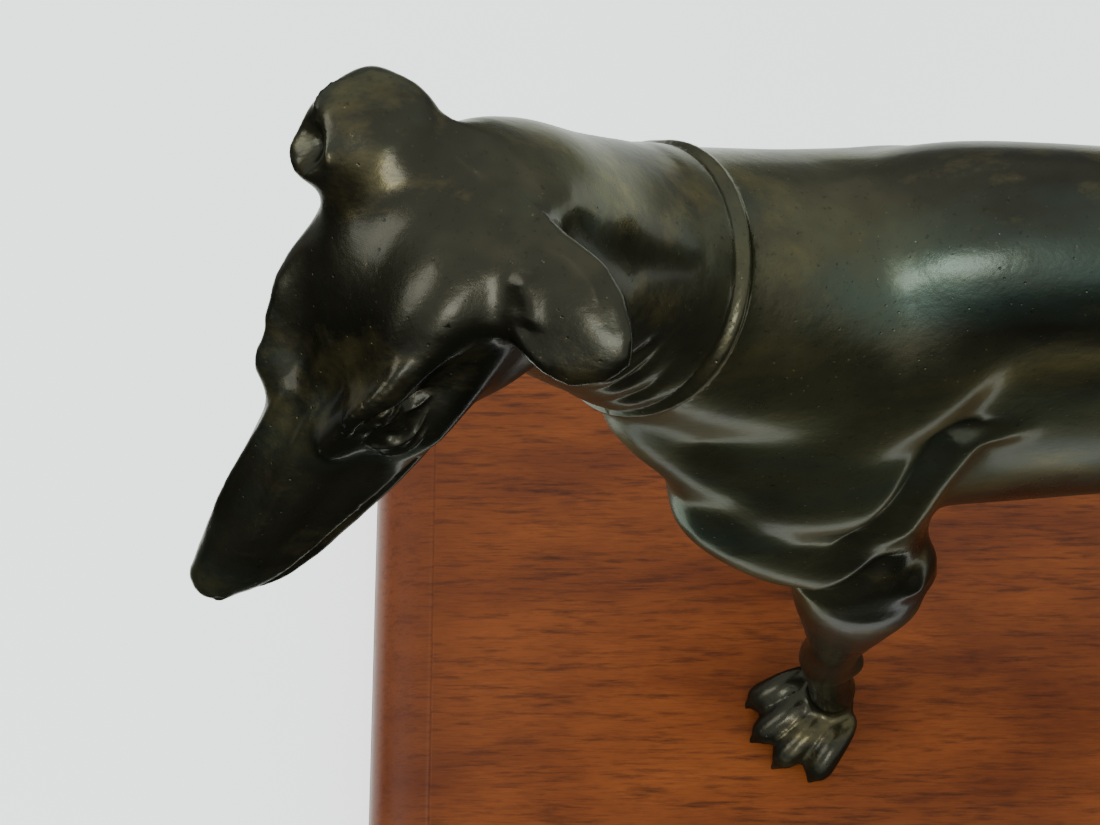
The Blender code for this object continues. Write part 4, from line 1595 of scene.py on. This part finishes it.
@dataclass
class Plinth:
    """The moulded block.

    Attributes:
        length, width, height: its sizes in metres.
        corner: the radius of its corners.
        moulding: the width and height of the ovolo round its top.
        fillet: the small step above it.
        segments: how many facets the ovolo has.
        corner_segments: how many facets a corner has.
    """

    length: float = 0.398
    width: float = 0.156
    height: float = 0.028
    corner: float = 0.007
    moulding: tuple[float, float] = (0.0165, 0.0125)
    fillet: float = 0.0008
    segments: int = 20
    corner_segments: int = 10

    def outline(self, inset: float, height: float) -> list[Vector]:
        """Draws one level of the block.

        Args:
            inset: how far it is drawn in.
            height: its height.

        Returns:
            The points of its rounded oblong.
        """
        radius = max(self.corner - 0.3 * inset, 0.2 * self.corner)
        along = self.length / 2 - inset - radius
        across = self.width / 2 - inset - radius
        points = []
        corners = ((along, across), (-along, across), (-along, -across), (along, -across))
        for number, (x, y) in enumerate(corners):
            for step in range(self.corner_segments + 1):
                turn = math.pi / 2 * (number + step / self.corner_segments)
                points.append(Vector((x + radius * math.cos(turn), y + radius * math.sin(turn), height)))
        return points

    def build(self) -> bpy.types.Object:
        """Builds the block.

        Returns:
            The block as one object.
        """
        width, depth = self.moulding
        shoulder = self.height - depth
        soft = 0.0006
        profile = [(soft, 0.0), (0.0, soft), (0.0, shoulder - soft), (soft / 2, shoulder)]
        for step in range(1, self.segments + 1):
            turn = math.pi / 2 * step / self.segments
            rise = (depth - self.fillet) * math.sin(turn)
            profile.append((soft / 2 + (width - soft) * (1 - math.cos(turn)), shoulder + rise))
        profile.append((width - soft * 0.3, self.height - soft * 0.4))
        profile.append((width + soft * 0.4, self.height))
        bm = bmesh.new()
        loops = [[bm.verts.new(point) for point in self.outline(*spot)] for spot in profile]
        for low, high in zip(loops, loops[1:]):
            for corners in zip(low, low[1:] + low[:1], high[1:] + high[:1], high):
                bm.faces.new(corners)
        bm.faces.new(loops[-1])
        bm.faces.new(list(reversed(loops[0])))
        obj = link("plinth_wood", bm)
        for polygon in obj.data.polygons:
            polygon.use_smooth = len(polygon.vertices) == 4
        return obj


@dataclass
class Studio:
    """The camera, the pale floor and the soft lights.

    Attributes:
        tilt: how steeply the camera looks down, in degrees.
        lens: its focal length in millimetres on a 36 mm frame.
        eye: where it stands, in metres.
        table_edge: how near the pale floor's near edge lies.
        table_end: where its left end lies.
        table_back: where its far edge lies.
        wall: the linear colour of the dark walls.
        backdrop: that of the pale wall behind the figure.
        ceiling: that of the ceiling.
        backdrop_band: over which share of the way back the walls turn into the backdrop.
        ceiling_band: over which share of the way up they turn into the ceiling.
        end_drop: how much higher the ceiling begins beyond the head's end.
        aim: what the lamps look at.
        sheet_right: where the floor's right end lies.
        sheet_depth: how far the floor lies under the plinth's foot.
    """

    tilt: float = 70.0
    lens: float = 75.27
    eye: Row = (-0.152, -0.15921, 0.61162)
    table_edge: float = -0.120
    table_end: float = -0.440
    table_back: float = 0.550
    wall: Row = (0.055, 0.057, 0.055, 1.0)
    backdrop: Row = (0.60, 0.62, 0.62, 1.0)
    ceiling: Row = (0.92, 0.94, 0.93, 1.0)
    backdrop_band: tuple[float, float] = (0.10, 0.45)
    ceiling_band: tuple[float, float] = (-0.06, 0.24)
    end_drop: float = 0.35
    aim: Row = (-0.1, 0, 0.2)
    sheet_right: float = 2.5
    sheet_depth: float = 0.0005

    def camera(self) -> None:
        """Sets the camera at the photograph's angle."""
        tilt = math.radians(self.tilt)
        look = Vector((0, math.cos(tilt), -math.sin(tilt)))
        data = bpy.data.cameras.new("camera")
        data.lens = self.lens
        data.sensor_width = 36.0
        data.clip_start = 0.01
        camera = bpy.data.objects.new("camera", data)
        camera.location = self.eye
        camera.rotation_euler = look.to_track_quat("-Z", "Y").to_euler()
        bpy.context.scene.collection.objects.link(camera)
        bpy.context.scene.camera = camera

    def floor(self) -> None:
        """Lays the pale floor under the plinth."""
        bm = bmesh.new()
        left, near = self.table_end, self.table_edge
        right, back = self.sheet_right, self.table_back
        corners = ((left, near), (right, near), (right, back), (left, back))
        bm.faces.new([bm.verts.new((x, y, 0)) for x, y in corners])
        obj = link("floor", bm)
        obj.location.z = -self.sheet_depth
        obj.data.materials.append(PaleGround().build())

    def lamp(self, name: str, at: Row, size: float, power: float) -> None:
        """Hangs one soft square lamp that looks at the figure.

        Args:
            name: its name.
            at: where it hangs.
            size: its side in metres.
            power: its power in watts.
        """
        data = bpy.data.lights.new(name, "AREA")
        data.size = size
        data.energy = power
        lamp = bpy.data.objects.new(name, data)
        lamp.location = at
        lamp.rotation_euler = (Vector(self.aim) - Vector(at)).to_track_quat("-Z", "Y").to_euler()
        bpy.context.scene.collection.objects.link(lamp)

    def sky(self) -> None:
        """Sets the surround: a soft grey ceiling, dark walls, and a pale wall behind the figure."""
        world = bpy.data.worlds.new("surround")
        world.use_nodes = True
        bpy.context.scene.world = world
        nodes = Nodes(world.node_tree)
        way = nodes.add("ShaderNodeTexCoord", {}, "Generated")
        parts = nodes.add("ShaderNodeSeparateXYZ", {"Vector": way}).node.outputs
        left = nodes.add("ShaderNodeMath", {0: parts["X"], 1: 0.0}, operation="MINIMUM")
        lowered = {0: left, 1: self.end_drop, 2: parts["Z"]}
        height = nodes.add("ShaderNodeMath", lowered, operation="MULTIPLY_ADD")
        colour: object = self.wall
        bands = ((parts["Y"], self.backdrop_band, self.backdrop), (height, self.ceiling_band, self.ceiling))
        for value, (low, high), tint in bands:
            span = {"Value": value, "From Min": low, "From Max": high}
            share = nodes.add("ShaderNodeMapRange", span, interpolation_type="SMOOTHSTEP")
            mixed = {MIX_SHARE: share, MIX_UNDER: colour, MIX_OVER: tint}
            colour = nodes.add("ShaderNodeMix", mixed, MIX_COLOUR, data_type="RGBA")
        nodes.give(world.node_tree.nodes["Background"], {"Color": colour, "Strength": 1.0})

    def lamps(self) -> None:
        """Hangs the lamps that stand at the near side and beyond the head."""
        self.lamp("near lamp", (-0.16, -1.05, 0.94), 0.40, 4.6)
        self.lamp("end lamp", (-1.17, -0.24, 0.93), 0.60, 4.2)

    def build(self) -> None:
        """Sets the camera, floor, lamps and surround."""
        self.camera()
        self.floor()
        self.sky()
        self.lamps()


def main() -> None:
    """Builds the piece and the studio round it."""
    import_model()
    bronze = PatinatedBronze().build()
    figure = Greyhound().build()
    figure.data.materials.append(bronze)
    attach(figure, "root")
    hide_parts("greyhound")
    LOG.info("the figure has %d triangles", len(figure.data.polygons))
    block = Plinth().build()
    block.data.materials.append(Mahogany().build())
    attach(block, "root")
    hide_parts("plinth")
    Studio().build()


if __name__ == "__main__":
    logging.basicConfig(level=logging.INFO, format="%(message)s")
    main()
